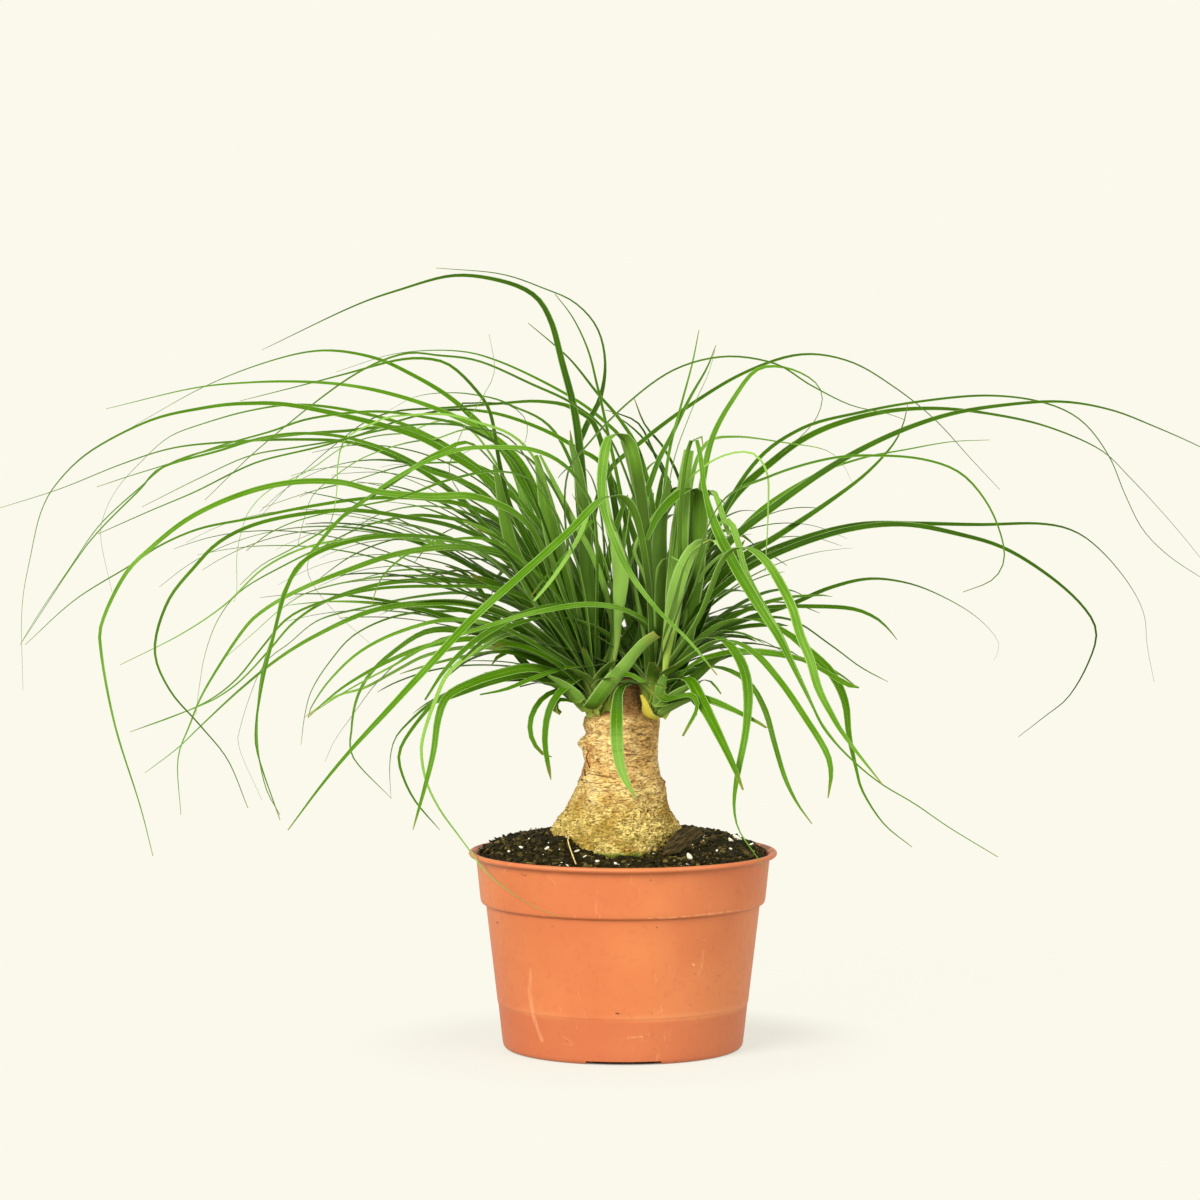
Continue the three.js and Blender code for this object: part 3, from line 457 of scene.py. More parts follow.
# Leaves that fill in between them, in the same form.
moreRows = [
    ("backRight", 4, 60, 40, 0.3, [(19.5, 223), (16, 263), (8.5, 295.5), (-1.5, 313), (-13, 326.5),
     (-24, 340.5), (-31.5, 348), (-47.5, 361.5)]),
    ("left", 4.5, -60, 40, 0.4, [(-30.5, 233), (-51.5, 288), (-76.5, 308), (-101.5, 314.5),
     (-126.5, 317), (-156.5, 313.5), (-176.5, 307), (-201.5, 300), (-224, 292), (-246.5, 285),
     (-263, 279.5)]),
    ("backLeft", 4, -75, 40, 0.35, [(-24, 243), (-51.5, 298), (-76.5, 309), (-101.5, 310.5),
     (-126.5, 306.5), (-151.5, 299.5), (-179, 293), (-194, 287), (-214, 277), (-236.5, 267.5),
     (-262.5, 256)]),
    ("left", 4, 125, 40, 0.4, [(-30.5, 223), (-51.5, 273), (-71.5, 289.5), (-91.5, 291.5),
     (-111.5, 289.5), (-136.5, 282), (-156.5, 277), (-180.5, 269)]),
    ("left", 4, 60, 40, 0.5, [(-36.5, 213), (-61.5, 245), (-91.5, 253), (-121.5, 255.5),
     (-146.5, 250.5), (-171.5, 239), (-191.5, 227), (-202.5, 213), (-209, 195.5), (-212, 178),
     (-213.5, 165.5)]),
    ("left", 4, 100, 40, 0.6, [(-30.5, 203), (-51.5, 224), (-76.5, 232), (-106.5, 235),
     (-131.5, 233), (-156.5, 227), (-171.5, 218), (-184, 207), (-199, 194)]),
    ("backLeft", 4, 110, 40, 0.4, [(-31.5, 223), (-61.5, 255.5), (-96.5, 265), (-121.5, 262),
     (-139, 255.5), (-155.5, 245.5), (-157.5, 237), (-152.5, 227), (-141.5, 214.5),
     (-125.5, 200.5)]),
    ("left", 4, 50, 40, 0.4, [(-34, 198), (-61.5, 215), (-91.5, 217), (-114, 214.5), (-134, 205.5),
     (-146.5, 192), (-155.5, 178), (-159, 165.5), (-161, 150.5)]),
    ("left", 4, -75, 40, 0.55, [(-34, 194), (-61.5, 209), (-86.5, 213), (-111.5, 207),
     (-131.5, 197), (-146.5, 183), (-155.5, 170), (-157.5, 164)]),
    ("left", 4, 115, 40, 0.4, [(-33.5, 189), (-56.5, 199), (-81.5, 203), (-106.5, 195.5),
     (-122.5, 182), (-134, 167), (-144, 153), (-149, 142)]),
    ("backLeft", 4, 70, 40, 0.6, [(-35.5, 189), (-56.5, 196.5), (-76.5, 195), (-96.5, 190.5),
     (-111.5, 186)]),
    ("backLeft", 3, -40, 40, 0.5, [(-5.5, 223), (-9, 253), (-15.5, 263), (-24, 250.5), (-36.5, 237),
     (-47, 223.5)]),
    ("right", 4.5, -100, 40, 0.55, [(16, 207), (1, 217.5), (-16.5, 220.5), (-34, 218.5), (-54, 214),
     (-76.5, 207), (-96.5, 200.5), (-114, 190.5), (-126.5, 184), (-139, 177), (-151.5, 169),
     (-157.5, 165)]),
    ("left", 4, -25, 40, 0.4, [(-25.5, 177), (-34, 177), (-41.5, 172), (-46, 163), (-45.5, 154),
     (-41, 147), (-35.5, 144.5)]),
    ("backRight", 6, -70, 40, 0.65, [(33.5, 223), (44.5, 255.5), (52.5, 262.5), (57, 253),
     (61, 238), (69.5, 221.5), (79.5, 204.5), (85, 192), (91.5, 178), (98.5, 163), (107.5, 150.5)]),
    ("backRight", 5, 30, 40, 0.45, [(38.5, 189), (53.5, 196), (73.5, 196.5), (93.5, 192),
     (106, 187), (117.5, 179)]),
    ("backRight", 4, 110, 40, 0.25, [(38.5, 203), (61, 213), (83.5, 220.5), (103.5, 229),
     (123.5, 233.5), (143.5, 231), (161, 224), (176, 215), (186, 205), (188, 199), (185.5, 193)]),
    ("backRight", 3, 60, 40, 0.3, [(38.5, 200.5), (61, 212.5), (83.5, 213), (103.5, 200.5),
     (118.5, 189.5), (132.5, 182)]),
    ("backRight", 4, 60, 40, 0.2, [(38.5, 243), (63.5, 288), (88.5, 308), (118.5, 316.5),
     (148.5, 322), (181, 325), (208.5, 322), (228.5, 313), (242.5, 295.5), (251, 275.5), (260, 258),
     (273.5, 244.5), (292.5, 232)]),
    ("backRight", 4, 90, 40, 0.6, [(28.5, 228), (33.5, 278), (41, 300.5), (56, 304.5), (81, 301.5),
     (101, 298), (110, 290.5), (115, 280.5)]),
    ("backRight", 4, 90, 40, 0.5, [(38.5, 228), (63.5, 263), (93.5, 284), (118.5, 293.5),
     (141, 298), (163.5, 302), (183.5, 303)]),
    ("backLeft", 3, 40, 40, 0.5, [(16, 243), (22.5, 293), (28.5, 318), (34.5, 340.5), (38, 358)]),
    ("backRight", 3, -10, 40, 0.55, [(18.5, 243), (24.5, 288), (33.5, 315.5), (42.5, 335.5),
     (46, 348)]),
    ("backRight", 3, 50, 40, 0.15, [(33.5, 243), (29.5, 278), (21, 298), (11, 310.5), (5.5, 324)]),
    ("right", 4, 75, 40, 0.15, [(31, 243), (22.5, 283), (13.5, 299.5), (5, 309), (-5.5, 316.5)]),
    ("backLeft", 3, -30, 40, 0.85, [(8.5, 253), (38.5, 288), (61, 297), (71.5, 288), (72.5, 268),
     (71, 237)]),
    ("left", 5, 70, 40, 0.4, [(-11.5, 198), (-36.5, 253), (-71.5, 288), (-106.5, 308),
     (-141.5, 307), (-171.5, 304.5), (-201.5, 299), (-226.5, 291), (-241.5, 279), (-261.5, 260.5),
     (-276.5, 239), (-291.5, 217), (-301.5, 200.5)]),
    ("left", 4.5, -30, 40, 0.5, [(-16.5, 183), (-36.5, 215.5), (-61.5, 228), (-91.5, 229.5),
     (-121.5, 228.5), (-146.5, 223), (-166.5, 214.5), (-180.5, 199), (-192.5, 184), (-206.5, 173),
     (-224, 165), (-246.5, 157)]),
    ("left", 5, -110, 40, 0.5, [(-16.5, 193), (-41.5, 253), (-71.5, 298), (-91.5, 296.5),
     (-116.5, 280.5), (-139, 265.5), (-156.5, 245.5), (-169, 228), (-174, 208), (-180.5, 185.5),
     (-183, 155.5), (-179, 130.5), (-171.5, 115.5)]),
    ("left", 6, -90, 40, 0.55, [(-14, 258), (-22, 281), (-33, 292.5), (-46.5, 298), (-61.5, 299),
     (-81.5, 298), (-101.5, 290.5), (-119, 280.5), (-131.5, 270.5), (-149, 258), (-166.5, 248),
     (-180.5, 240.5), (-191.5, 230.5)]),
    ("backLeft", 2.5, 60, 40, 0.7, [(-71.5, 303), (-111.5, 306), (-136.5, 301), (-156.5, 288),
     (-176.5, 278), (-186.5, 268), (-190.5, 258), (-193, 245.5), (-193, 228), (-194.5, 222)]),
    ("backLeft", 3, 40, 40, 0.6, [(-61.5, 298), (-96.5, 303), (-126.5, 295.5), (-146.5, 283),
     (-155.5, 274.5), (-159.5, 263), (-163, 249)]),
    ("left", 3.5, -60, 40, 0.75, [(-41.5, 288), (-76.5, 313), (-111.5, 315), (-126.5, 310.5),
     (-139, 303), (-142.5, 290.5), (-143, 278), (-145, 265.5), (-150.5, 250.5)]),
    ("left", 6, -20, 40, 0.5, [(-16.5, 178), (-41.5, 195.5), (-71.5, 203), (-96.5, 200),
     (-116.5, 192.5), (-136.5, 181.5), (-149, 172), (-157.5, 164)]),
    ("left", 5, 15, 40, 0.85, [(-16.5, 177), (-41.5, 193), (-71.5, 199), (-96.5, 195.5),
     (-114, 187), (-129, 179), (-144, 174.5), (-159, 164.5)]),
    ("left", 3.5, -95, 40, 0.5, [(-31.5, 223), (-61.5, 250.5), (-86.5, 253), (-105.5, 247),
     (-117.5, 238), (-122.5, 230.5), (-125.5, 221)]),
    ("left", 8, 30, 40, 0.65, [(-17.5, 188), (-25.5, 213), (-36.5, 238), (-46.5, 263), (-53, 283),
     (-59, 295.5)]),
    ("backLeft", 3.5, 20, 40, 0.4, [(-31.5, 243), (-61.5, 298), (-81.5, 319), (-76.5, 321.5),
     (-61.5, 321.5), (-54, 319), (-48, 312), (-48.5, 303), (-51.5, 298.5)]),
    ("backLeft", 5, 85, 40, 0.2, [(-1.5, 243), (-11.5, 303), (-24, 318), (-41.5, 322), (-61.5, 321),
     (-86.5, 319), (-111.5, 317.5), (-126.5, 313), (-139, 304.5), (-161.5, 285.5),
     (-180.5, 265.5)]),
    ("backLeft", 3.5, 120, 40, 0.3, [(-11.5, 243), (-31.5, 303), (-56.5, 320.5), (-74, 325.5),
     (-89, 326.5), (-104, 324.5), (-116.5, 318)]),
    ("backRight", 3, 50, 40, 0.3, [(8.5, 203), (1, 263), (-9, 313), (-13, 330.5), (-17.5, 348),
     (-25, 364), (-34, 376)]),
    ("right", 6, -45, 40, 0.5, [(19.5, 173), (33.5, 189), (48.5, 195.5), (66, 197), (83.5, 194.5),
     (96, 191.5)]),
    ("right", 4.5, -55, 40, 0.5, [(19.5, 170.5), (33.5, 174.5), (46, 172), (61, 165), (72.5, 159)]),
    ("right", 3.5, -60, 40, 0.45, [(22.5, 173), (33.5, 175.5), (37.5, 170.5), (34.5, 163),
     (29.5, 155)]),
    ("backRight", 5, 40, 40, 0.35, [(18.5, 203), (11, 263), (16, 288), (24.5, 305.5), (33.5, 324),
     (42, 339), (46.5, 350.5)]),
    ("backRight", 3, 60, 40, 0.1, [(33.5, 203), (31, 253), (23.5, 278), (16, 295.5), (8.5, 310.5),
     (-0.5, 315.5), (-9, 318)]),
    ("left", 4, -25, 40, 0.3, [(-24, 171.5), (-31.5, 173), (-35, 169.5), (-31.5, 165.5)]),
    ("left", 4, -30, 40, 0.45, [(-11.5, 178), (-0.5, 185.5), (8.5, 183), (16, 175.5)]),
    ("right", 9, -20, 40, 0.8, [(-3, 199), (-3.5, 223), (-1, 243), (1.5, 258), (3.5, 273)]),
    ("right", 9.5, -45, 40, 0.75, [(21.5, 193), (23.5, 208), (27, 223), (31.5, 240.5), (37, 249),
     (44.5, 253.5)]),
    ("right", 10, 10, 40, 0.3, [(19.5, 178), (22.5, 203), (24.5, 228), (27.5, 253), (30.5, 273),
     (33.5, 288)]),
    ("right", 9, -5, 40, 0.35, [(22.5, 178), (28.5, 203), (32.5, 228), (34.5, 250.5), (35.5, 268),
     (32.5, 279), (22.5, 277), (17, 268)]),
    ("right", 8, -28, 40, 0.45, [(20.5, 178), (24.5, 223), (27.5, 263), (30.5, 290.5), (35.5, 303),
     (39.5, 304.5), (40, 300)]),
    ("left", 8, -25, 40, 0.6, [(-9.5, 178), (-6, 203), (-5.5, 223), (-11.5, 247), (-19, 263),
     (-25.5, 276)]),
    ("left", 8, -15, 40, 0.3, [(-12.5, 178), (-16.5, 203), (-24, 228), (-37.5, 249), (-51.5, 263),
     (-62.5, 270.5)]),
    ("left", 8, -5, 40, 0.35, [(-13.5, 178), (-21.5, 203), (-33.5, 228), (-47.5, 243), (-61.5, 253),
     (-74.5, 259)]),
    ("left", 9, 5, 40, 0.45, [(-14.5, 175.5), (-28.5, 198), (-43.5, 215.5), (-59, 228),
     (-76.5, 235.5)]),
    ("left", 8, 20, 40, 0.25, [(-12.5, 183), (-11.5, 208), (-14, 233), (-19, 258), (-22.5, 283),
     (-26.5, 308)]),
    ("right", 8, 15, 40, 0.25, [(18.5, 178), (16, 203), (14.5, 228), (13.5, 253), (8.5, 278),
     (1.5, 295.5)]),
    ("right", 8, 10, 40, 0.35, [(24.5, 178), (33.5, 198), (41.5, 218), (49.5, 235.5), (61, 253)]),
    ("left", 7, -35, 40, 0.35, [(-15.5, 173), (-31.5, 189), (-46.5, 198), (-59, 201),
     (-66.5, 198)]),
    ("left", 3.5, -70, 30, 0.4, [(-45, 235), (-75, 268), (-86.8, 286), (-84, 298.5), (-78.7, 311),
     (-69.7, 325.5), (-64.3, 338), (-67, 356)]),
]
# Broad leaves of the middle and the lowest ones, face on: shoot, lightness, length of the pale
# base, and points that also say how far behind the axis they lie and how wide the blade is there.
frontRows = [
    ("left", 1, 44, [(-5.5, 189, -12, 1.6), (-3, 200.5, -18, 2.4), (-2.5, 213, -22, 4.2),
     (-1.5, 225.5, -25, 7), (-1, 235.5, -26, 8.6), (-2, 244, -26, 7.6), (-4.5, 253, -25, 5.6),
     (-7.5, 264, -22, 4.5), (-9.5, 278, -18, 3.4), (-10, 293, -12, 2.4), (-8.5, 305, -6, 1)]),
    ("left", 0.7, 30, [(-5, 203, -12, 2.2), (-7, 220.5, -20, 3), (-11, 234.5, -23, 3),
     (-16, 247, -24, 2.8), (-22, 258, -24, 2.6), (-28.5, 270.5, -22, 2.4), (-35, 283, -18, 2),
     (-41.5, 295.5, -14, 1.2)]),
    ("right", 1, 60, [(20, 180.5, -15, 1.6), (21.5, 192, -22, 3.2), (22.5, 203, -27, 5.4),
     (24, 213, -30, 7), (25.5, 223, -31, 7.8), (28, 233, -32, 8), (31.5, 242, -32, 7.4),
     (35.5, 248.5, -33, 6.4), (40.5, 252, -36, 5.4), (45.5, 252.5, -41, 4.2), (49.5, 249, -46, 3),
     (52, 243, -50, 1.4)]),
    ("right", 0.1, 20, [(20, 193, -10, 4), (19, 213, -14, 7), (18.5, 228, -16, 8.5),
     (18, 243, -16, 8.5), (18.5, 258, -14, 7), (20.5, 270.5, -10, 5), (23, 283, -4, 2.4)]),
    ("right", 0.6, 20, [(22.5, 193, -14, 4), (24.5, 213, -20, 7.5), (26, 228, -23, 9.5),
     (27.5, 243, -24, 10), (28.5, 258, -24, 9), (30, 273, -22, 7), (31, 285.5, -20, 6),
     (33, 298, -18, 5)]),
    ("right", 0.35, 20, [(31.5, 198, -12, 4), (34.5, 218, -17, 7), (36.5, 235.5, -19, 8.6),
     (37.5, 250.5, -20, 9), (38.5, 265.5, -20, 8), (38, 275.5, -22, 6.4), (33.5, 278.5, -27, 5),
     (27, 275, -31, 5), (21, 269.5, -34, 4.4), (16, 262.5, -36, 3.4), (12, 253, -38, 1.8)]),
    ("left", 0.1, 20, [(8.5, 203, -6, 5), (11, 223, -8, 8), (12.5, 243, -7, 9), (11, 263, -5, 8),
     (7.5, 280.5, -2, 6.5), (4, 293, 2, 5), (-0.5, 303, 6, 2)]),
    ("left", 0.15, 20, [(-13.5, 203, -8, 4), (-16.5, 223, -12, 6.5), (-18.5, 243, -13, 7.5),
     (-19, 260.5, -12, 7), (-20.5, 275.5, -10, 6), (-23, 290.5, -6, 4.6), (-26.5, 303, -2, 2)]),
    ("left", 0.5, 20, [(-17.5, 198, -10, 4), (-24.5, 218, -16, 6.5), (-31.5, 238, -19, 7.5),
     (-36, 255.5, -19, 7.4), (-39, 270.5, -18, 6.4), (-41, 284, -16, 5), (-43.5, 295.5, -12, 2)]),
    ("left", 0.3, 20, [(-21.5, 193, -10, 4), (-33.5, 209, -16, 6), (-45.5, 228, -19, 7),
     (-54.5, 247, -20, 7), (-59, 263, -20, 6), (-61.5, 278, -18, 4.4), (-64.5, 290.5, -14, 1.6)]),
    ("right", 0.95, 20, [(14.5, 218, -14, 1.6), (10.5, 235.5, -17, 1.6), (5.5, 247, -19, 1.8),
     (8.5, 255.5, -20, 1.8), (11.5, 265.5, -21, 1.7), (12.5, 274.5, -22, 1.2)]),
    ("right", 0.95, 20, [(16, 203, -16, 1.4), (15.5, 223, -22, 1.4), (16.5, 235.5, -25, 1.4),
     (19, 242, -27, 1.3), (23, 244.5, -29, 1.3), (27.5, 243, -31, 1.2), (31, 238.5, -33, 0.8)]),
    ("right", 0.75, 20, [(11, 203, -12, 2), (3.5, 238, -20, 2), (-6.5, 263, -25, 2),
     (-12.5, 270, -32, 2), (-17, 267, -40, 2.2), (-20, 259, -47, 2.2), (-25, 249, -53, 2.1),
     (-32.5, 237.5, -60, 2), (-38.5, 229.5, -65, 1.8), (-44.5, 222.5, -69, 1.2)]),
    ("right", 0.7, 20, [(28.5, 213, -12, 2.6), (33.5, 238, -15, 2.6), (38.5, 260.5, -16, 2.8),
     (41.5, 273, -18, 2.8), (44, 278, -22, 2.6), (46, 276, -26, 2.8), (48, 270.5, -29, 3),
     (50.5, 263, -32, 2.8), (53, 255.5, -34, 2)]),
    ("right", 0.85, 20, [(28.5, 203, -14, 2), (33.5, 223, -17, 2.2), (39.5, 235.5, -19, 2),
     (46, 243, -21, 1.8), (52, 247, -23, 1.2)]),
    ("right", 0.8, 14, [(17, 165, -13, 4), (19, 169, -16, 6.4), (23, 173, -19, 6),
     (30, 178, -23, 4.4), (38.5, 182, -28, 2)]),
    ("right", 0.85, 14, [(17.5, 164, -13, 4), (21.5, 168, -16, 7), (27.5, 171, -19, 6.4),
     (35.5, 173, -23, 4), (42.5, 173, -26, 1.6)]),
    ("right", 0.7, 16, [(16.5, 167, -13, 4), (17.5, 173, -17, 5.4), (19, 179, -18, 5.2),
     (20.5, 185, -18, 3.8), (22.5, 191, -17, 1.2)]),
    ("left", 0.8, 15, [(-17.5, 166, -12, 4), (-20.5, 170.5, -15, 7), (-24.5, 175.5, -18, 7),
     (-30.5, 181, -22, 4.4), (-37.5, 185, -26, 1.6)]),
    ("right", 0.45, 20, [(22.5, 177, -12, 6), (33.5, 182, -17, 5.6), (41.5, 189, -22, 5),
     (48.5, 194, -28, 4.4), (56, 196.5, -34, 3.6), (68.5, 195.5, -44, 2.6), (81, 194, -54, 2.4),
     (91, 192, -60, 2.4), (101, 187, -66, 2.8), (109.5, 182, -70, 3.4), (114.5, 179.5, -72, 3.2),
     (118, 179, -73, 1.2)]),
    ("right", 0.6, 20, [(28.5, 176, -13, 4), (40, 173, -18, 3), (48.5, 170, -22, 2.6),
     (58.5, 166, -26, 2.2), (64.5, 163, -28, 1.4), (71.5, 159, -31, 0.8)]),
    ("right", 0.35, 20, [(26.5, 173, -13, 2.6), (34.5, 172.5, -18, 2), (37, 168, -21, 1.6),
     (33.5, 161, -24, 1.2), (30, 155, -26, 0.8)]),
    ("right", 0.6, 20, [(33.5, 180, -10, 2.2), (41, 183, -14, 1.8), (45, 181, -17, 1.6),
     (49, 176, -19, 0.8)]),
    ("left", 0.35, 20, [(-21.5, 171, -10, 3), (-28.5, 173, -14, 2.8), (-32.5, 172, -17, 2.8),
     (-33.5, 169, -18, 2.6), (-31, 166.5, -18, 1.6)]),
    ("left", 0.3, 20, [(-20, 170, -11, 6), (-26.5, 174.5, -16, 5.4), (-33.5, 179.5, -20, 3.6),
     (-41.5, 181.5, -24, 2.6), (-51.5, 179.5, -28, 1.4)]),
    ("right", 0.4, 20, [(17, 203, -12, 3), (11, 210.5, -17, 3.2), (3.5, 216.5, -21, 3.4),
     (-6.5, 220, -25, 3.5), (-16.5, 221, -29, 3.5), (-31.5, 220.5, -34, 3.6),
     (-46.5, 217, -39, 3.6), (-61.5, 210.5, -44, 3.4), (-76.5, 200.5, -49, 2.8), (-89, 188, -53, 2),
     (-99, 173, -56, 1)]),
    ("left", 0.35, 20, [(1.5, 189, -9, 2.6), (-2.5, 199, -12, 3), (-8.5, 206, -15, 3),
     (-16.5, 210, -18, 3), (-26.5, 213, -21, 3), (-39, 214, -25, 3), (-54, 210.5, -30, 2.8),
     (-69, 203, -35, 2.2), (-80.5, 193, -39, 1.2)]),
    ("left", 0.45, 20, [(-5.5, 187, -9, 3), (-9.5, 190.5, -12, 3.2), (-17.5, 189.5, -16, 3.4),
     (-26.5, 189, -20, 3.6), (-35.5, 187, -24, 3.6), (-46.5, 183, -29, 3), (-59, 178, -34, 2.4),
     (-71.5, 175.5, -38, 1.4)]),
]
# What single leaves of the first table have of their own: blade widths at their points, and tones:
# the lightness at the base and at the tip, where it changes, and over what share of the length.
leafLooks = {
    2: {"widths": (2.2, 2.6, 3.4, 2.6, 1.4, 1.1, 1, 0.9, 0.8, 0.4)},
    # leaves 27, 28 and 33: the low lightness where their tones start is painted shade, where the
    # blade rises in the crown's shade
    27: {"facing": True, "widths": (2.4, 6, 6.4, 6, 5.4, 5, 3.6, 3.4, 3, 1.9, 1.4, 0.6),
         "tones": (-0.3, 0.6, 0.43, 0.06)},
    28: {"facing": True, "widths": (3, 3.4, 4.2, 4.8, 4.8, 4.8, 4.6, 4.2, 3.6, 2.8, 1.8, 1.2, 0.5),
         "tones": (0, 0.5, 0.24, 0.06)},
    32: {"facing": True, "widths": (7.4, 8.2, 8, 7, 6, 6, 5.4), "tones": (0.4, 1, 0.45, 0.4),
         "pale": 3, "channel": 0.24},
    33: {"facing": True, "widths": (2.6, 4.6, 6.4, 6.4, 5, 3, 0.6), "tones": (-0.1, 0.8, 0.5, 0.4)},
    34: {"facing": True, "widths": (5.6, 6.2, 4.4, 2.8, 1)},
    35: {"facing": True, "widths": (4, 3.6, 3.8, 5, 5.2, 3.7, 3, 1.6, 0.7, 0.5, 0.3)},
    36: {"facing": True, "widths": (4, 4, 4.4, 3.6, 3.3, 3.1, 2.4, 0.6)},
    37: {"facing": True, "widths": (3, 2.6, 2.6, 3, 2.6, 2.3, 1.3, 0.5)},
    38: {"facing": True, "widths": (3, 2.4, 2.2, 2.4, 2.4, 2.4, 4.8, 5.4, 4.6, 3.6, 2, 1.2, 1.2,
                                    0.9, 0.7, 0.6, 0.5, 0.4),
         "tones": (0.1, 0.5, 0.3, 0.06)},
    39: {"facing": True, "widths": (2.6, 3, 3.6, 4.4, 4.6, 4.6, 4.5, 4.4, 3.8, 3, 2, 0.6)},
    40: {"facing": True, "widths": (3.4, 2.8, 2.7, 3, 4.2, 4.6, 3.8, 2.8, 1.6, 1.2, 0.7, 0.4)},
    41: {"widths": (3, 2.8, 2.8, 3.3, 3.1, 2.7, 1.8, 0.6)},
}


def seen(across, up, behind):  # where a point lies that shows there, so far behind the axis
    down = math.radians(sight["lookDown"])
    eye = np.array(sight["eye"], float)
    ray = np.array((0, math.cos(down), -math.sin(down))) * sight["distance"]
    ray += np.array((0, math.sin(down), math.cos(down))) * (sight["up"] + up)
    ray[0] += sight["across"] + across
    return eye + ray * ((behind - eye[1]) / ray[1])


def shownAt(x, y, z):  # the other way round: where a point is seen
    down = math.radians(sight["lookDown"])
    place = np.array((x, y, z)) - sight["eye"]
    reach = place @ (0, math.cos(down), -math.sin(down)) / sight["distance"]
    high = place @ (0, math.sin(down), math.cos(down)) / reach
    return place[0] / reach - sight["across"], high - sight["up"]


def smoothLine(points, steps):  # a Catmull-Rom curve through the points, in so many steps each
    points = [np.array(p, float) for p in points]
    points = [2 * points[0] - points[1], *points, 2 * points[-1] - points[-2]]
    line = []
    for i in range(1, len(points) - 2):
        a, b, c, d = points[i - 1:i + 3]
        for t in np.arange(steps) / steps:
            line.append(b + 0.5 * t * (c - a) + t * t * (a - 2.5 * b + 2 * c - 0.5 * d)
                        + t ** 3 * (-0.5 * a + 1.5 * b - 1.5 * c + 0.5 * d))
    line.append(points[-2])
    return np.array(line)


def evenly(line, count):  # the same line with points at even distances
    lengths = np.concatenate([[0], np.cumsum(np.linalg.norm(np.diff(line, axis=0), axis=1))])
    places = np.linspace(0, lengths[-1], count)
    return np.stack([np.interp(places, lengths, line[:, k]) for k in range(3)], 1), places


def fromShoot(shoot, toward):  # inside the shoot and on its surface, on the way to a point
    at, size = shoots[shoot]
    heart = np.array(at) + (0, 0, size * shootShape["heart"])
    way = np.array(toward, float) - heart
    way /= np.linalg.norm(way)
    side, rise = size * shootShape["radius"], size * shootShape["rise"]
    reach = 1 / math.sqrt((way[0] / side) ** 2 + (way[1] / side) ** 2 + (way[2] / rise) ** 2)
    out, low, high = shootShape["foot"]
    foot = np.array(at) + (out * way[0], out * way[1], low + high * max(0, way[2]))
    return [foot, heart + way * (reach + shootShape["proud"])]


def tracedLine(shoot, depth, points):  # a leaf's line, from its shoot through the points as seen
    at = shoots[shoot][0]
    steps = [math.dist(a[:2], b[:2]) for a, b in zip(points, points[1:])]
    lengths = np.concatenate([[0], np.cumsum(steps)])
    lead = math.hypot(points[0][0] - at[0], points[0][1] - at[2] - shootShape["heart"])
    line = []
    for point, length in zip(points, lengths):
        swing = math.sin((lead + length) / (lead + lengths[-1]) * math.pi / 2)
        behind = point[2] if len(point) > 2 else at[1] + (depth - at[1]) * swing
        line.append(seen(point[0], point[1], behind))
    return fromShoot(shoot, line[0]) + line


bladeShape = {
    "curve": 14,  # steps from one given point to the next
    "step": 4.5, "sections": (12, 100),  # millimetres between sections, fewest and most of them
    "around": 12,  # points of the section
    "thickness": 0.42, "thickFoot": 1.3,  # how many times as thick it is at the foot
    "tip": 0.2,  # half width of the thread at the tip
    "blunt": 0.42, "shortest": 110,  # how a short leaf narrows, and how a long one does
    "slender": 1.12, "longest": 270,
    "baseWidth": 9.4, "baseLength": 15,  # how wide it is where it clasps the shoot, and how far
    # where along the blade its roll changes, over what share, and how far it starts unrolled
    "rollFrom": 0.3, "rollOver": 0.4, "untwisted": 12,
    "channel": 0.3,  # how deep the V is, as a share of the half width
    "baseChannel": 0.6,
    "pale": 20, "dry": 9,  # length of the pale foot and of the dry tip
}


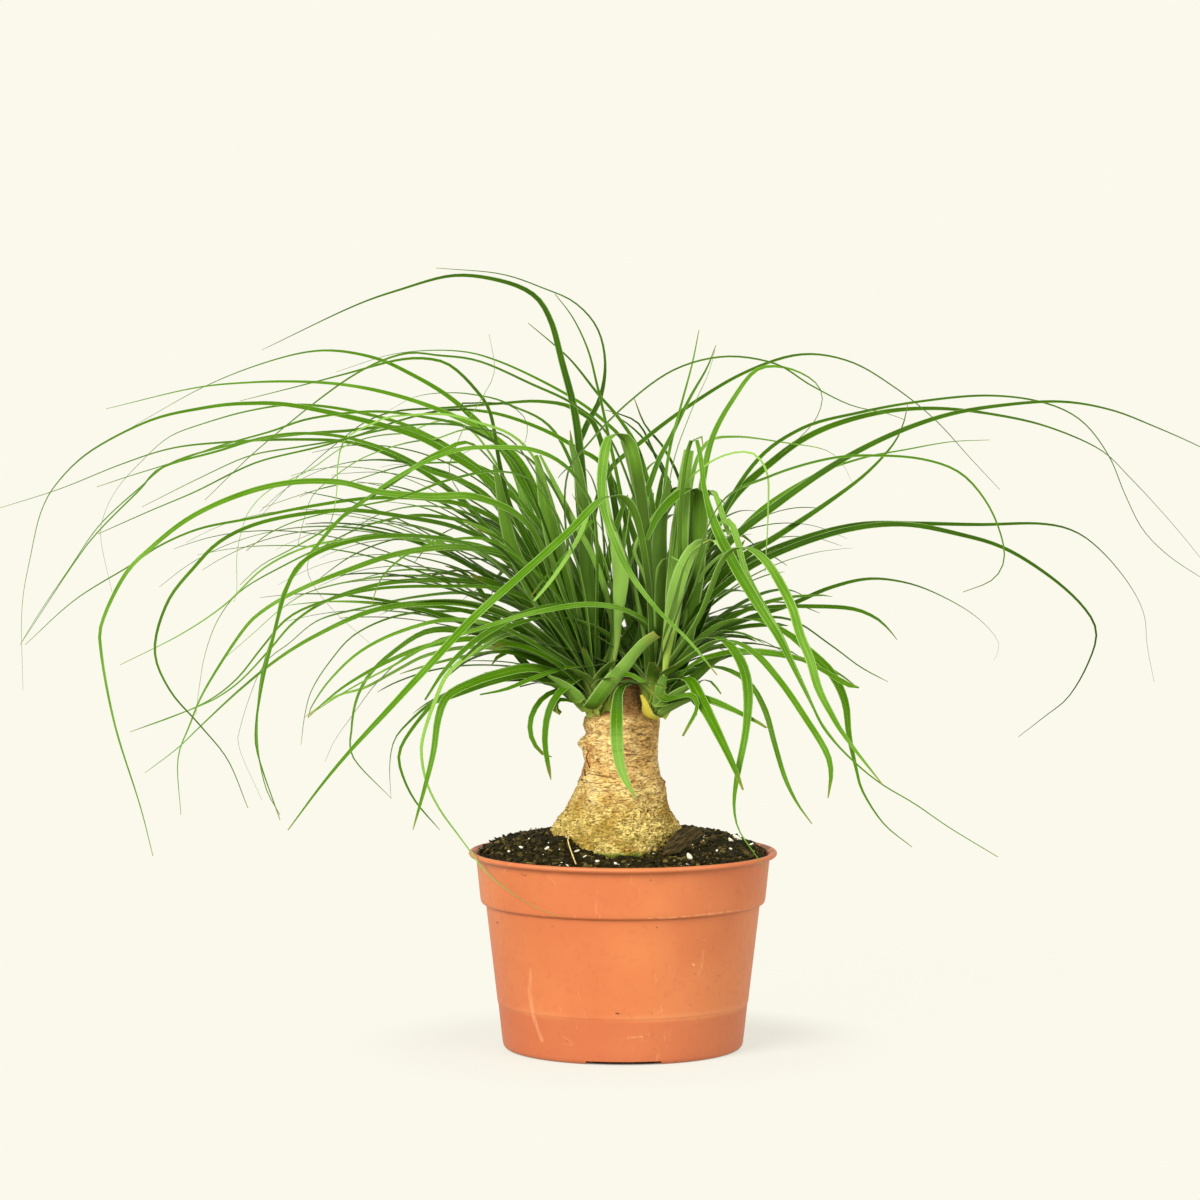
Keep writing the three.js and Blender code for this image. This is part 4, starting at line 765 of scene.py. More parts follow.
def blade(points, width, roll, tone, facing=False, widths=None, tones=None, pale=None,
          channel=None, dry=1, swing=0):  # what the tree needs to know at each point of one leaf
    curve = bladeShape["curve"]
    line = smoothLine(points, curve)
    steps = np.linalg.norm(np.diff(line, axis=0), axis=1)
    length = steps.sum()
    fewest, most = bladeShape["sections"]
    count = int(min(most, max(fewest, length / bladeShape["step"])))
    middle, reach = evenly(line, count)
    along = reach / reach[-1]
    tangent = np.gradient(middle, axis=0)
    tangent /= np.linalg.norm(tangent, axis=1)[:, None]
    ways = (middle - middle[0])[:, :2]
    heading = ways[np.argmax(np.linalg.norm(ways, axis=1))]
    heading = heading / (np.linalg.norm(heading) + 1e-9)
    across = np.array((-1, 0, 0)) if facing else np.array((heading[1], -heading[0], 0))
    flat = across - tangent * (tangent @ across)[:, None]
    flat /= np.linalg.norm(flat, axis=1)[:, None]
    for _ in range(3 if facing else 0):  # no sudden twist where it folds over
        flat = flat + np.concatenate([flat[:1], flat[:-1]]) + np.concatenate([flat[1:], flat[-1:]])
        flat -= tangent * (tangent * flat).sum(1)[:, None]
        flat /= np.linalg.norm(flat, axis=1)[:, None]
    rise = np.cross(tangent, flat)
    first, last = roll if isinstance(roll, tuple) else (roll, roll)
    rolled = np.clip((along - bladeShape["rollFrom"]) / bladeShape["rollOver"], 0, 1)
    lean = first + (last - first) * rolled
    lean = 0 * lean if facing else np.copysign(1, heading[0]) * lean
    lean = lean * (1 - 0.6 * np.exp(-reach / bladeShape["untwisted"]))
    turn = np.radians(lean + swing * np.sin(along * math.pi * 1.3))
    side = flat * np.cos(turn)[:, None] + rise * np.sin(turn)[:, None]
    side /= np.linalg.norm(side, axis=1)[:, None]
    near = np.exp(-(reach / bladeShape["baseLength"]) ** 2)
    narrowing = float(np.interp(length, (bladeShape["shortest"], bladeShape["longest"]),
                                (bladeShape["blunt"], bladeShape["slender"])))
    left = (1 - along) ** narrowing
    if widths:
        places = np.concatenate([[0], np.cumsum(steps)])[curve::curve]
        half = np.interp(reach, places, (widths[0], *widths)) / 2
    else:
        half = width * left * 1.06 / 2 + bladeShape["tip"]
        half = half + (np.maximum(bladeShape["baseWidth"] / 2, half) - half) * near
    if tones:
        tone = tones[0] + (tones[1] - tones[0]) * np.clip((along - tones[2]) / tones[3] + 0.5, 0, 1)
    if channel is None:
        channel = bladeShape["channel"] + (bladeShape["baseChannel"] - bladeShape["channel"]) * near
    return {
        "middle": middle,
        "side": side,
        "up": np.cross(side, tangent),
        "half": half,
        "thick": bladeShape["thickness"] / 2 * (bladeShape["thickFoot"] - along),
        "channel": channel + np.zeros(count),
        "pale": np.clip(1.15 - reach / (pale or bladeShape["pale"]), 0, 1),
        "dry": np.clip(1 - (reach[-1] - reach) / bladeShape["dry"], 0, 1) * dry,
        "along": reach * mm,
        "tone": tone + np.zeros(count),
    }


def growBlades(name, blades, finish):
    middles = np.concatenate([item["middle"] for item in blades])
    edges, start = [], 0
    for item in blades:
        count = len(item["middle"])
        edges += [(start + i, start + i + 1) for i in range(count - 1)]
        start += count
    mesh = bpy.data.meshes.new(name)
    mesh.from_pydata((middles * mm).tolist(), edges, [])
    for key in ("side", "up", "half", "thick", "channel", "pale", "dry", "along", "tone"):
        scale = mm if key in ("half", "thick") else 1
        keepOn(mesh, key, np.concatenate([item[key] * scale for item in blades]))
    piece = bladeTree.grow(name, mesh, {"Section points": bladeShape["around"], "Finish": finish})
    for key in ("side", "up", "half", "thick", "channel", "middle"):  # the finish reads the others
        layer = piece.data.attributes.get(key)
        if layer:
            piece.data.attributes.remove(layer)
    return piece


def makeBladeTree():  # sweeps a thin channelled section along each leaf's line
    tree = Growth("leafBlades", {"Section points": "Int", "Finish": "Material"})
    rails = tree.node("GeometryNodeMeshToCurve", None, {"Mesh": tree.given("Geometry")})
    rails = tree.keep(rails, "middle", tree.position(), "FLOAT_VECTOR")
    ring = tree.node("GeometryNodeCurvePrimitiveCircle", {"mode": "RADIUS"},
                     {"Resolution": tree.given("Section points"), "Radius": 1.0})
    x, y, _ = tree.parts(tree.position())
    ring = tree.keep(ring, "across", x)
    ring = tree.keep(ring, "lift", y)
    swept = tree.node("GeometryNodeCurveToMesh", None,
                      {"Curve": rails, "Profile Curve": ring, "Fill Caps": True})
    swept = tree.node("GeometryNodeFlipFaces", None, {"Mesh": swept})
    across, lift = tree.own("across"), tree.own("lift")
    half = tree.own("half")
    outward = tree.scaled(tree.own("side", "FLOAT_VECTOR"), across * half)
    fold = (across * across + 0.02) ** 0.5 * half * tree.own("channel")
    upward = tree.scaled(tree.own("up", "FLOAT_VECTOR"), lift * tree.own("thick") + fold)
    place = tree.plus(tree.own("middle", "FLOAT_VECTOR"), tree.plus(outward, upward))
    shaped = tree.node("GeometryNodeSetPosition", None, {"Geometry": swept, "Position": place})
    tree.end(tree.node("GeometryNodeSetShadeSmooth", None,
                       {"Geometry": shaped, "Shade Smooth": True}))
    return tree


leafPaint = {
    "dark": paint(22, 44, 0),
    "middle": paint(60, 98, 0),
    # lightest tone: partly the leaves' own light green, partly a painted whitish sheen
    "light": paint(124, 160, 70),
    # pale margin colour, made whiter as painted highlight: light through the thin edge, and sheen
    "edge": paint(152, 178, 108),
    # pale foot: the leaves' own pale yellow-green, made lighter still as painted light against the
    # crown's shade
    "base": paint(186, 204, 88),
    "tip": paint(128, 106, 46),
    "under": paint(90, 122, 42),
}


def makeLeafFinish(name, colours):  # streaks along the blade, a pale middle line, pale edges with painted highlight, and a pale base partly lifted by painted light
    made = Finish(name, Roughness=0.45, Specular_IOR_Level=0.06)
    along, across, tone = made.own("along"), made.own("across"), made.own("tone")
    streaks = made.noise(made.vector(across * 2.2 + tone * 40, along * 16, tone * 90), 3, 3)
    patches = made.noise(made.vector(tone * 70, along * 30, 0.0), 1.2, 2)
    shade = tone + (streaks - 0.5) * 0.34 + (patches - 0.5) * 0.3
    middle = abs(across)
    # a pale middle line, and lighter towards the edges as painted highlight
    shade = shade + made.step(middle, 0.16, 0.0) * 0.12 + made.step(middle, 0.8, 1.0) * 0.16
    colour = made.ramp(shade, [
        (0, colours["dark"]), (0.5, colours["middle"]), (1, colours["light"])])
    under = made.step(made.own("lift"), 0.05, -0.05)
    # pale edges: partly the leaf's own margin, partly painted highlight of light through it
    edge = made.step(middle + (streaks - 0.5) * 0.3, 0.76, 0.96)
    made.drive("Base Color", made.layered(
        colour, (under * 0.4, colours["under"]), (edge * 0.5, colours["edge"]),
        (made.step(made.own("pale"), 0.0, 1.0) * 0.85, colours["base"]),
        (made.own("dry") * 0.55, colours["tip"])))
    made.drive("Roughness", 0.38 + streaks * 0.18)
    veins = made.noise(made.vector(across * 5, along * 8, tone * 50), 6, 1)
    made.bump(veins, 0.00012, 0.5)
    return made.material


bladeTree = makeBladeTree()
leafFinish = makeLeafFinish("leafGreen", leafPaint)
rng = random.Random(41)
# By how much drawn leaves vary: their tone, and how far they swing round, in degrees. A front
# leaf with a pale base shorter than "flatBelow" is folded only as much as "flatChannel" says.
leafChance = {"tone": 0.05, "swing": 14, "moreSwing": 18, "flatBelow": 20, "flatChannel": 0.2}


def either(most):  # a chance number up to so much to either side
    return rng.uniform(-most, most)


def rowBlade(row, swing, looks):  # a leaf of the first two tables
    shoot, width, depth, roll, tone, points = row
    return blade(tracedLine(shoot, depth, points), width, roll, tone + either(leafChance["tone"]),
                 swing=either(swing), **looks)


for number, row in enumerate(leafRows, 1):
    name = f"leaf_{number:02d}"
    one = rowBlade(row, leafChance["swing"], leafLooks.get(number, {}))
    settled(growBlades(name + "_blade", [one], leafFinish), "leaf", name)
print("traced leaves grown")

extra = {key: [] for key in shoots}
for row in moreRows:
    extra[row[0]].append(rowBlade(row, leafChance["moreSwing"], {}))
for shoot, tone, pale, points in frontRows:
    channel = leafChance["flatChannel"] if pale < leafChance["flatBelow"] else None
    extra[shoot].append(blade(
        tracedLine(shoot, 0, points), 0, 0, tone, facing=True, pale=pale, dry=0,
        channel=channel, widths=[point[3] for point in points]))

# Leaves by rule: the inner mass, and the back of the plant. Each group: shoot, how many,
# direction in degrees (90 is straight back), first slope, last slope, length and width.
fillGroups = [
    ("left", 14, (150, 260), (30, 75), (-40, 20), (50, 120), (5, 8)),
    ("left", 10, (60, 200), (60, 88), (-20, 40), (60, 130), (6, 9)),
    ("right", 10, (-60, 60), (35, 75), (-40, 20), (50, 110), (5, 8)),
    ("right", 8, (20, 120), (60, 88), (-10, 50), (60, 130), (6, 9)),
    ("backLeft", 30, (80, 190), (25, 80), (-50, 0), (120, 300), (4, 6.5)),
    ("backRight", 30, (-10, 100), (25, 80), (-50, 0), (120, 300), (4, 6.5)),
    ("backLeft", 12, (70, 200), (5, 50), (-60, -10), (60, 130), (4.5, 7)),
    ("backRight", 12, (-20, 110), (5, 50), (-60, -10), (60, 130), (4.5, 7)),
    ("backLeft", 16, (145, 195), (40, 72), (-35, 10), (160, 280), (2.6, 4.2)),
]
# How often a place is tried, and what varies: bend and roll to either side, tone, dryness, swing.
fillShape = {"tries": 40, "bend": 0.5, "roll": 35, "tones": (0.05, 0.6), "dry": 0.3, "swing": 30}
fillRoom = {
    "clear": (-26, 50, 196, 300, -8),  # nothing of theirs shows here in front of this depth
    "halfWidth": 322, "front": -60, "back": 196, "top": 345,
    "lowestNear": 168, "near": 120, "lowest": 70,
    # where they may show from in front, across and up
    "outline": [
        (-236, 150), (-250, 215), (-215, 262), (-150, 300), (-95, 318), (-50, 326), (-20, 300),
        (0, 282), (18, 300), (40, 318), (62, 322), (80, 300), (98, 272), (112, 262), (118, 238),
        (104, 215), (92, 196), (72, 178), (-60, 176), (-90, 158), (-130, 140), (-180, 122)],
}


def pointing(turn, slope):  # the direction that points so far round and up
    return np.array((
        math.cos(turn) * math.cos(slope), math.sin(turn) * math.cos(slope), math.sin(slope)))


# Of a leaf's line by rule: how far it aims from the shoot, the length of a step, of how many
# points one is kept, and how late it bends down.
archShape = {"aim": 40, "step": 6, "every": 3, "late": 1.3}


def archLine(shoot, turn, first, last, length, bend):
    step, every = archShape["step"], archShape["every"]
    at, size = shoots[shoot]
    heart = np.array(at) + (0, 0, size * shootShape["heart"])
    points = fromShoot(shoot, heart + pointing(turn, first) * archShape["aim"])
    for i in range(int(length / step)):
        share = i * step / length
        slope = first + (last - first) * share ** archShape["late"]
        points.append(points[-1] + step * pointing(turn + bend * share, slope))
    ends = [] if (len(points) - 1) % every == 1 else [points[-1]]
    return [points[0], *points[1::every], *ends]


def isInside(place, outline):  # is the place within the closed outline
    inside = False
    for (x0, y0), (x1, y1) in zip(outline, outline[1:] + outline[:1]):
        passed = (y0 > place[1]) != (y1 > place[1])
        if passed and place[0] < x0 + (place[1] - y0) * (x1 - x0) / (y1 - y0):
            inside = not inside
    return inside


def hasRoom(points):  # does a leaf by rule stay where such leaves show, and inside the model's box
    for x, y, z in points[1:]:
        across, up = shownAt(x, y, z)
        left, right, bottom, top, depth = fillRoom["clear"]
        if not isInside((across, up), fillRoom["outline"]):
            return False
        if left < across < right and bottom < up < top and y < depth:
            return False
        if abs(x) > fillRoom["halfWidth"] or not fillRoom["front"] < y < fillRoom["back"]:
            return False
        near = math.hypot(x, y) < fillRoom["near"]
        if not fillRoom["lowestNear" if near else "lowest"] <= z <= fillRoom["top"]:
            return False
    return True


for shoot, number, turns, firsts, lasts, lengths, widths in fillGroups:
    grown = 0
    for _ in range(number * fillShape["tries"]):
        if grown == number:
            break
        turn, first, last = [math.radians(rng.uniform(*ends)) for ends in (turns, firsts, lasts)]
        points = archLine(
            shoot, turn, first, last, rng.uniform(*lengths), either(fillShape["bend"]))
        if hasRoom(points):
            extra[shoot].append(blade(
                points, rng.uniform(*widths), either(fillShape["roll"]),
                rng.uniform(*fillShape["tones"]), dry=fillShape["dry"],
                swing=either(fillShape["swing"])))
            grown += 1
for shoot, blades in extra.items():
    settled(growBlades(f"more_leaves_{shoot}", blades, leafFinish), "leaf")
print("other leaves grown", {key: len(value) for key, value in extra.items()})


# The pot: a turned shell with a rolled lip, a band, drain holes and three notches in its foot.
potShape = {
    "facets": 224, "cornerPoints": 5,
    "section": [  # radius, height, rounding, from the underside outwards and over the lip
        (0, 2.6, 0), (24, 2.6, 0), (53.4, 2.6, 0.4), (54.3, 0, 0.4), (60.0, 0, 3.4), (61.0, 8, 2),
        (62.6, 22.6, 0.5), (62.95, 23.4, 0.5), (68.7, 72.4, 0.4), (71.1, 73.4, 0.9),
        (71.5, 75.4, 1.2), (73.5, 95.0, 0.8), (74.4, 96.2, 0.6), (76.6, 96.5, 0.8),
        (77.4, 97.7, 0.9), (76.8, 98.9, 0.8), (75.4, 99.1, 0.8), (73.4, 98.2, 1.0),
        (71.9, 95.4, 1.0), (69.6, 75.4, 1.2), (66.9, 72.3, 1.2), (59.4, 8.6, 3),
        (57.4, 4.4, 2), (24, 4.4, 0), (0, 4.4, 0)],
    "sharpFrom": 38,  # degrees between faces from which an edge stays sharp
    # holes in the floor: their number, sizes, the cutter's depth and height, and its turn
    "drainHoles": 6, "drainRadius": 5, "drainCircle": 38, "drainFacets": 32, "drainDeep": 14,
    "drainLevel": 4, "drainTurn": 0.1,
    "notches": 3, "notchCircle": 60, "notchDeep": 16, "notchWidth": 37, "notchHeight": 1.9,
    "colour": paint(163, 86, 43), "light": paint(173, 99, 52), "deep": paint(145, 67, 36),
    "scuff": paint(196, 140, 96), "dirt": paint(64, 34, 18),
}
# Scuffs and marks on the wall as seen from in front: across and up in mm of two ends, half
# width, strength; the first list is pale, the second brown.
potScratches = [
    ((-45.4, 41), (-46.2, 31), 1.2, 0.22), ((-46.2, 31), (-44.6, 19), 1.4, 0.26),
    ((-44.6, 19), (-40, 6), 1.2, 0.3), ((-45.9, 30), (-44.4, 18), 0.45, 0.3),
    ((-44, 17), (-40.2, 6.6), 0.45, 0.36),
    ((18.0, 67.2), (44, 69.2), 0.7, 0.4), ((12.0, 67.4), (34.0, 68.2), 0.4, 0.35),
    ((40, 69), (60, 70.6), 0.5, 0.3),
    ((-29.5, 8.5), (-25.0, 5.5), 0.6, 0.14), ((-30, 5.0), (-25, 4.4), 0.5, 0.14),
    ((16.5, 20.5), (20.5, 23.0), 0.4, 0.2),
    ((18.0, 24.0), (19.0, 20.0), 0.25, 0.4), ((33.2, 44.6), (34.4, 44.0), 0.7, 0.8),
    ((36.5, 57.5), (40.0, 56.0), 0.25, 0.3), ((-60, 88), (-54, 95), 0.3, 0.3),
    ((2, 8.5), (9, 9.0), 0.5, 0.3), ((-38, 89), (-33, 84), 0.25, 0.3),
]
potMarks = [
    ((-3.6, 20.6), (-2.4, 20.4), 0.6, 0.9), ((-62.6, 63.6), (-62.2, 63.4), 0.6, 0.8),
    ((16.0, 62.8), (16.4, 62.8), 0.5, 0.7), ((12.9, 86.2), (13.2, 86.0), 0.5, 0.6),
    ((-50.0, 88.6), (-48.0, 87.6), 0.35, 0.6), ((-48.4, 87.4), (-47.2, 88.6), 0.3, 0.5),
    ((-35, 63.2), (-34.6, 63.2), 0.4, 0.5), ((46.4, 38.0), (46.8, 38.0), 0.45, 0.5),
    ((36.2, 56.4), (36.4, 56.2), 0.3, 0.5), ((-27.6, 6.4), (-27.2, 6.2), 0.35, 0.6),
]


def potCutters():  # cylinders for the drain holes, and blocks for the notches of the foot ring
    shape = potShape
    for i in range(shape["drainHoles"]):
        turn = i / shape["drainHoles"] * 2 * math.pi
        x, y = shape["drainCircle"] * math.cos(turn), shape["drainCircle"] * math.sin(turn)
        bpy.ops.mesh.primitive_cylinder_add(
            vertices=shape["drainFacets"], radius=shape["drainRadius"] * mm,
            depth=shape["drainDeep"] * mm, location=(x * mm, y * mm, shape["drainLevel"] * mm),
            rotation=(0, 0, shape["drainTurn"]))
        yield bpy.context.object
    for i in range(shape["notches"]):
        turn = -math.pi / 2 + i / shape["notches"] * 2 * math.pi
        out = shape["notchCircle"] * mm
        bpy.ops.mesh.primitive_cube_add(
            size=1, location=(out * math.cos(turn), out * math.sin(turn), 0), rotation=(0, 0, turn))
        sizes = shape["notchDeep"], shape["notchWidth"], 2 * shape["notchHeight"]
        bpy.context.object.scale = [size * mm for size in sizes]
        yield bpy.context.object


def makePot():
    section = rounded(potShape["section"], potShape["cornerPoints"])[1:-1]
    mesh = closedSkin("pot_wall", turned(section, potShape["facets"]))
    piece = shown("pot_wall", mesh, makePotFinish())
    cutters = list(potCutters())
    for cutter in cutters:
        cut = piece.modifiers.new("cut", "BOOLEAN")
        cut.operation, cut.solver, cut.object = "DIFFERENCE", "EXACT", cutter
    graph = bpy.context.evaluated_depsgraph_get()
    plain = bpy.data.meshes.new_from_object(piece.evaluated_get(graph), depsgraph=graph)
    piece.modifiers.clear()
    piece.data = plain
    for cutter in cutters:
        bpy.data.objects.remove(cutter)
    plain.shade_smooth()
    plain.set_sharp_from_angle(angle=math.radians(potShape["sharpFrom"]))
    settled(piece, "pot_plastic", "pot")


def strokes(made, x, z, rows):  # how much of a stroke lies at (x, z), 0 to 1
    total = None
    for (x0, z0), (x1, z1), half, strength in rows:
        dx, dz = (x1 - x0) * mm, (z1 - z0) * mm
        across, up = x - x0 * mm, z - z0 * mm
        t = ((across * dx + up * dz) / (dx * dx + dz * dz)).atLeast(0.0).atMost(1.0)
        gapX, gapZ = across - t * dx, up - t * dz
        gap = (gapX * gapX + gapZ * gapZ) ** 0.5
        one = made.step(gap, half * mm, half * mm * 0.3) * strength
        total = one if total is None else total.atLeast(one)
    return total


def makePotFinish():
    made = Finish("terracottaPlastic", Roughness=0.48, Specular_IOR_Level=0.4)
    place = made.place()
    x, y, z = made.parts(place)
    front, level = made.step(y, 0.0, -0.02), z + y * sight["slant"]
    broad = made.noise(place, 14, 3)
    fine = made.noise(place, 260, 3, 0.65)
    colour = made.mix(made.step(broad, 0.35, 0.7), potShape["colour"], potShape["light"])
    colour = made.mix(made.step(fine, 0.5, 0.75) * 0.25, colour, potShape["deep"])
    low = made.step(z + (broad - 0.5) * 0.004, 0.0235, 0.021)  # under the lower line
    ledge = made.step(abs(z - 0.0238), 0.0026, 0.0004) * made.step(broad, 0.35, 0.6)
    rub = made.noise(made.stretch(place, (1, 1, 0.12)), 420, 2, 0.7)
    worn = strokes(made, x, level, potScratches) * front * made.step(rub, 0.3, 0.62) * 1.3
    specks = made.step(made.cells(place, 95), 0.06, 0.03) * made.step(broad, 0.5, 0.6)
    marks = strokes(made, x, level, potMarks) * front
    turnX, turnY, _ = made.parts(made.node("ShaderNodeNewGeometry", None, None, "Normal"))
    inside = made.step(turnX * x + turnY * y, 0.0, -0.01)
    grime = made.step(made.noise(place, 90, 3), 0.42, 0.62)
    made.drive("Base Color", made.layered(
        colour, (low * 0.45, potShape["deep"]),
        (made.step(rub, 0.66, 0.74) * 0.22, potShape["scuff"]),
        (worn.atLeast(ledge * 0.12), potShape["scuff"]),
        (marks.atLeast(specks * 0.4), potShape["dirt"]), (inside * grime * 0.7, potShape["dirt"])))
    made.drive("Roughness", 0.42 + fine * 0.2)
    made.bump(fine, 0.0002, 0.35)
    return made.material


# The soil: its mound, the crumbs and fibres that lie on it, and white perlite.
soilShape = {
    "facets": 180, "topRadius": 71, "ringStep": 0.9,
    # radius and height: of the part in the pot, and of the mound at the sides and in front
    "side": [(0, 4.9), (53.6, 4.9), (57.1, 5.9), (58.9, 8.8), (66.4, 72.4), (69.1, 75.3),
             (71.1, 91.5)],
    "sides": [(72, 96.2), (70, 98.2), (66, 101.4), (60, 103.8), (48, 106), (34, 108.4), (20, 109),
              (0, 109)],
    "front": [(72, 92.6), (70, 94.0), (66, 95.2), (60, 96.6), (48, 98.2), (34, 99.6), (20, 100),
              (0, 100)],
    "strewnAbove": 92.5, "strewnWithin": 70.8,
    "rough": 1.7, "lumps": 90.0, "grains": 420,
    "heap": (-31, -26, 8, 4.6),  # against the trunk: place, width and height
    "dark": paint(24, 20, 3), "brown": paint(60, 50, 18), "light": paint(112, 96, 50),
    "perlite": paint(196, 192, 168), "perliteDirt": paint(150, 138, 112),
}


def soilHeight(x, y):
    radius, turn = math.hypot(x, y), math.atan2(y, x)
    front = max(0, -math.sin(turn)) ** 2
    side = between(soilShape["sides"], radius)
    left, ahead, wide, tall = soilShape["heap"]
    heap = tall * math.exp(-((x - left) ** 2 + (y - ahead) ** 2) / wide ** 2)
    return side + (between(soilShape["front"], radius) - side) * front + heap


def onSoil(across, up):  # where the line of sight through (across, up) meets the soil
    rim = soilShape["sides"][0][0]
    for behind in np.arange(-74, 74, 0.25):
        x, y, z = seen(across, up, behind)
        if math.hypot(x, y) < rim and z <= soilHeight(x, y):
            return np.array((x, y, soilHeight(x, y)))
    return seen(across, up, 0)


def makeSoilMesh():
    turns = roundTurns(soilShape["facets"])
    rings = turned(soilShape["side"][1:], soilShape["facets"])
    for radius in np.arange(soilShape["topRadius"], 1, -soilShape["ringStep"]):
        spots = [(radius * math.cos(turn), radius * math.sin(turn)) for turn in turns]
        rings.append([(x, y, soilHeight(x, y)) for x, y in spots])
    mesh = closedSkin("soil_mound", rings)
    heights = np.array([v.co[2] for v in mesh.vertices])
    radii = np.array([math.hypot(v.co[0], v.co[1]) for v in mesh.vertices])
    high, within = soilShape["strewnAbove"] * mm, soilShape["strewnWithin"] * mm
    keepOn(mesh, "top", np.where((heights > high) & (radii < within), 1.0, 0.0))
    return mesh


def makeSoilTree():  # pushes the top of the mound up and down
    tree = Growth("soilSurface", {
        "Roughness": "Float", "Lumps": "Float", "Finish": "Material"})
    place = tree.position()
    lumps = tree.noise(place, tree.given("Lumps"), 4, 0.65)
    grains = tree.cells(place, soilShape["grains"])
    rise = ((lumps - 0.5) * 2.4 + (0.35 - grains) * 0.7) * tree.given("Roughness") * tree.own("top")
    moved = tree.node("GeometryNodeSetPosition", None,
                      {"Geometry": tree.given("Geometry"), "Offset": tree.vector(0.0, 0.0, rise)})
    tree.end(tree.keep(moved, "grain", lumps))
    return tree


def makeScatterTree():  # strews small lumps over the faces that are marked as top
    tree = Growth("strewn", {
        "Density": "Float", "Smallest": "Float", "Largest": "Float", "Length": "Float",
        "Sink": "Float", "Fineness": "Int", "Ruggedness": "Float", "Seed": "Int",
        "Finish": "Material"})
    points = tree.node("GeometryNodeDistributePointsOnFaces", None, {
        "Mesh": tree.given("Geometry"), "Density": tree.own("top") * tree.given("Density"),
        "Seed": tree.given("Seed")}, "Points")

    def chance(low, high, shift, kind="FLOAT"):
        return tree.node("FunctionNodeRandomValue", {"data_type": kind}, {
            "Min": low, "Max": high, "Seed": tree.given("Seed") + shift}, "Value")

    lump = tree.node("GeometryNodeMeshIcoSphere", None,
                     {"Radius": 1.0, "Subdivisions": tree.given("Fineness")})
    shape = tree.noise(tree.position(), 1.7, 1)
    outward = tree.node("GeometryNodeInputNormal")
    lump = tree.node("GeometryNodeSetPosition", None, {
        "Geometry": lump, "Offset": tree.scaled(outward, (shape - 0.5) * tree.given("Ruggedness"))})
    small, large, size = tree.given("Smallest"), tree.given("Largest"), chance(0.0, 1.0, 1)
    size = small + size * size * size * (large - small)  # most of them are small
    turn = tree.node("FunctionNodeEulerToRotation", None,
                     {0: chance((-0.5, -0.5, 0.0), (0.5, 0.5, 6.283), 2, "FLOAT_VECTOR")})
    scale = tree.vector(size * tree.given("Length"), size * chance(0.55, 1.0, 3),
                        size * chance(0.4, 0.9, 4))
    lumps = tree.node("GeometryNodeInstanceOnPoints", None,
                      {"Points": points, "Instance": lump, "Rotation": turn, "Scale": scale})
    lowered = tree.node("GeometryNodeTranslateInstances", None, {
        "Instances": lumps, "Translation": tree.vector(0.0, 0.0, size * tree.given("Sink")),
        "Local Space": False})
    tree.end(tree.keep(lowered, "grain", chance(0.0, 1.0, 5), domain="INSTANCE"))
    return tree


def makeSoilFinish(name, dullness, brownest=1):
    made = Finish(name, Roughness=dullness, Specular_IOR_Level=0.08)
    fine = made.noise(made.place(), 900, 3, 0.7)
    made.drive("Base Color", made.ramp(made.own("grain") * brownest + (fine - 0.5) * 0.5, [
        (0, soilShape["dark"]), (0.5, soilShape["dark"]), (0.8, soilShape["brown"]),
        (1, soilShape["light"])]))
    made.drive("Roughness", dullness + (fine - 0.5) * 0.5)
    made.bump(fine, 0.0006, 0.8)
    return made.material


def makePerliteFinish():
    made = Finish("perlite", Roughness=0.7)
    fine = made.noise(made.place(), 1400, 2, 0.6)
    made.drive("Base Color", made.mix(
        made.step(fine, 0.4, 0.75) * 0.4, soilShape["perlite"], soilShape["perliteDirt"]))
    made.bump(fine, 0.0003, 0.6)
    return made.material


# Name, finish, how many per square metre, smallest and largest half size in mm, length, how far out
# of the soil, fineness of the ball, ruggedness, seed.
strewn = [
    ("soil_crumbs", "crumb", 330000, 0.45, 2.1, 1.15, 0.1, 1, 0.5, 3),
    ("soil_lumps", "clod", 12000, 1.2, 2.7, 1.3, 0.05, 1, 1.0, 5),
    ("soil_chips", "clod", 16000, 0.6, 1.6, 2.6, 0.2, 1, 0.5, 6),
    ("soil_fibres", "fibre", 30000, 0.3, 0.9, 5.5, 0.3, 1, 0.5, 8),
    ("perlite_grains", "perlite", 8000, 0.34, 0.95, 1.3, 0.4, 1, 0.8, 13),
]
# Across and up, half length and half width in mm, and how much it is turned.
perlitePlaces = [
    (33.2, 93.3, 2, 1.2, -55), (57, 103, 2.6, 0.9, -30), (53.8, 101.7, 1.7, 0.8, -40),
    (-12.8, 91, 1.1, 0.8, 10), (-23, 96.2, 1.2, 0.5, 20), (-38, 97.5, 1.2, 0.8, 30),
    (-51, 98, 1.1, 0.7, -20), (-3.8, 90, 0.9, 0.6, -30), (47, 96.5, 0.8, 0.5, 40),
    (-57, 96, 0.8, 0.6, 0), (64, 99.5, 1.3, 0.6, 25), (-19, 93.6, 0.9, 0.4, 30),
]


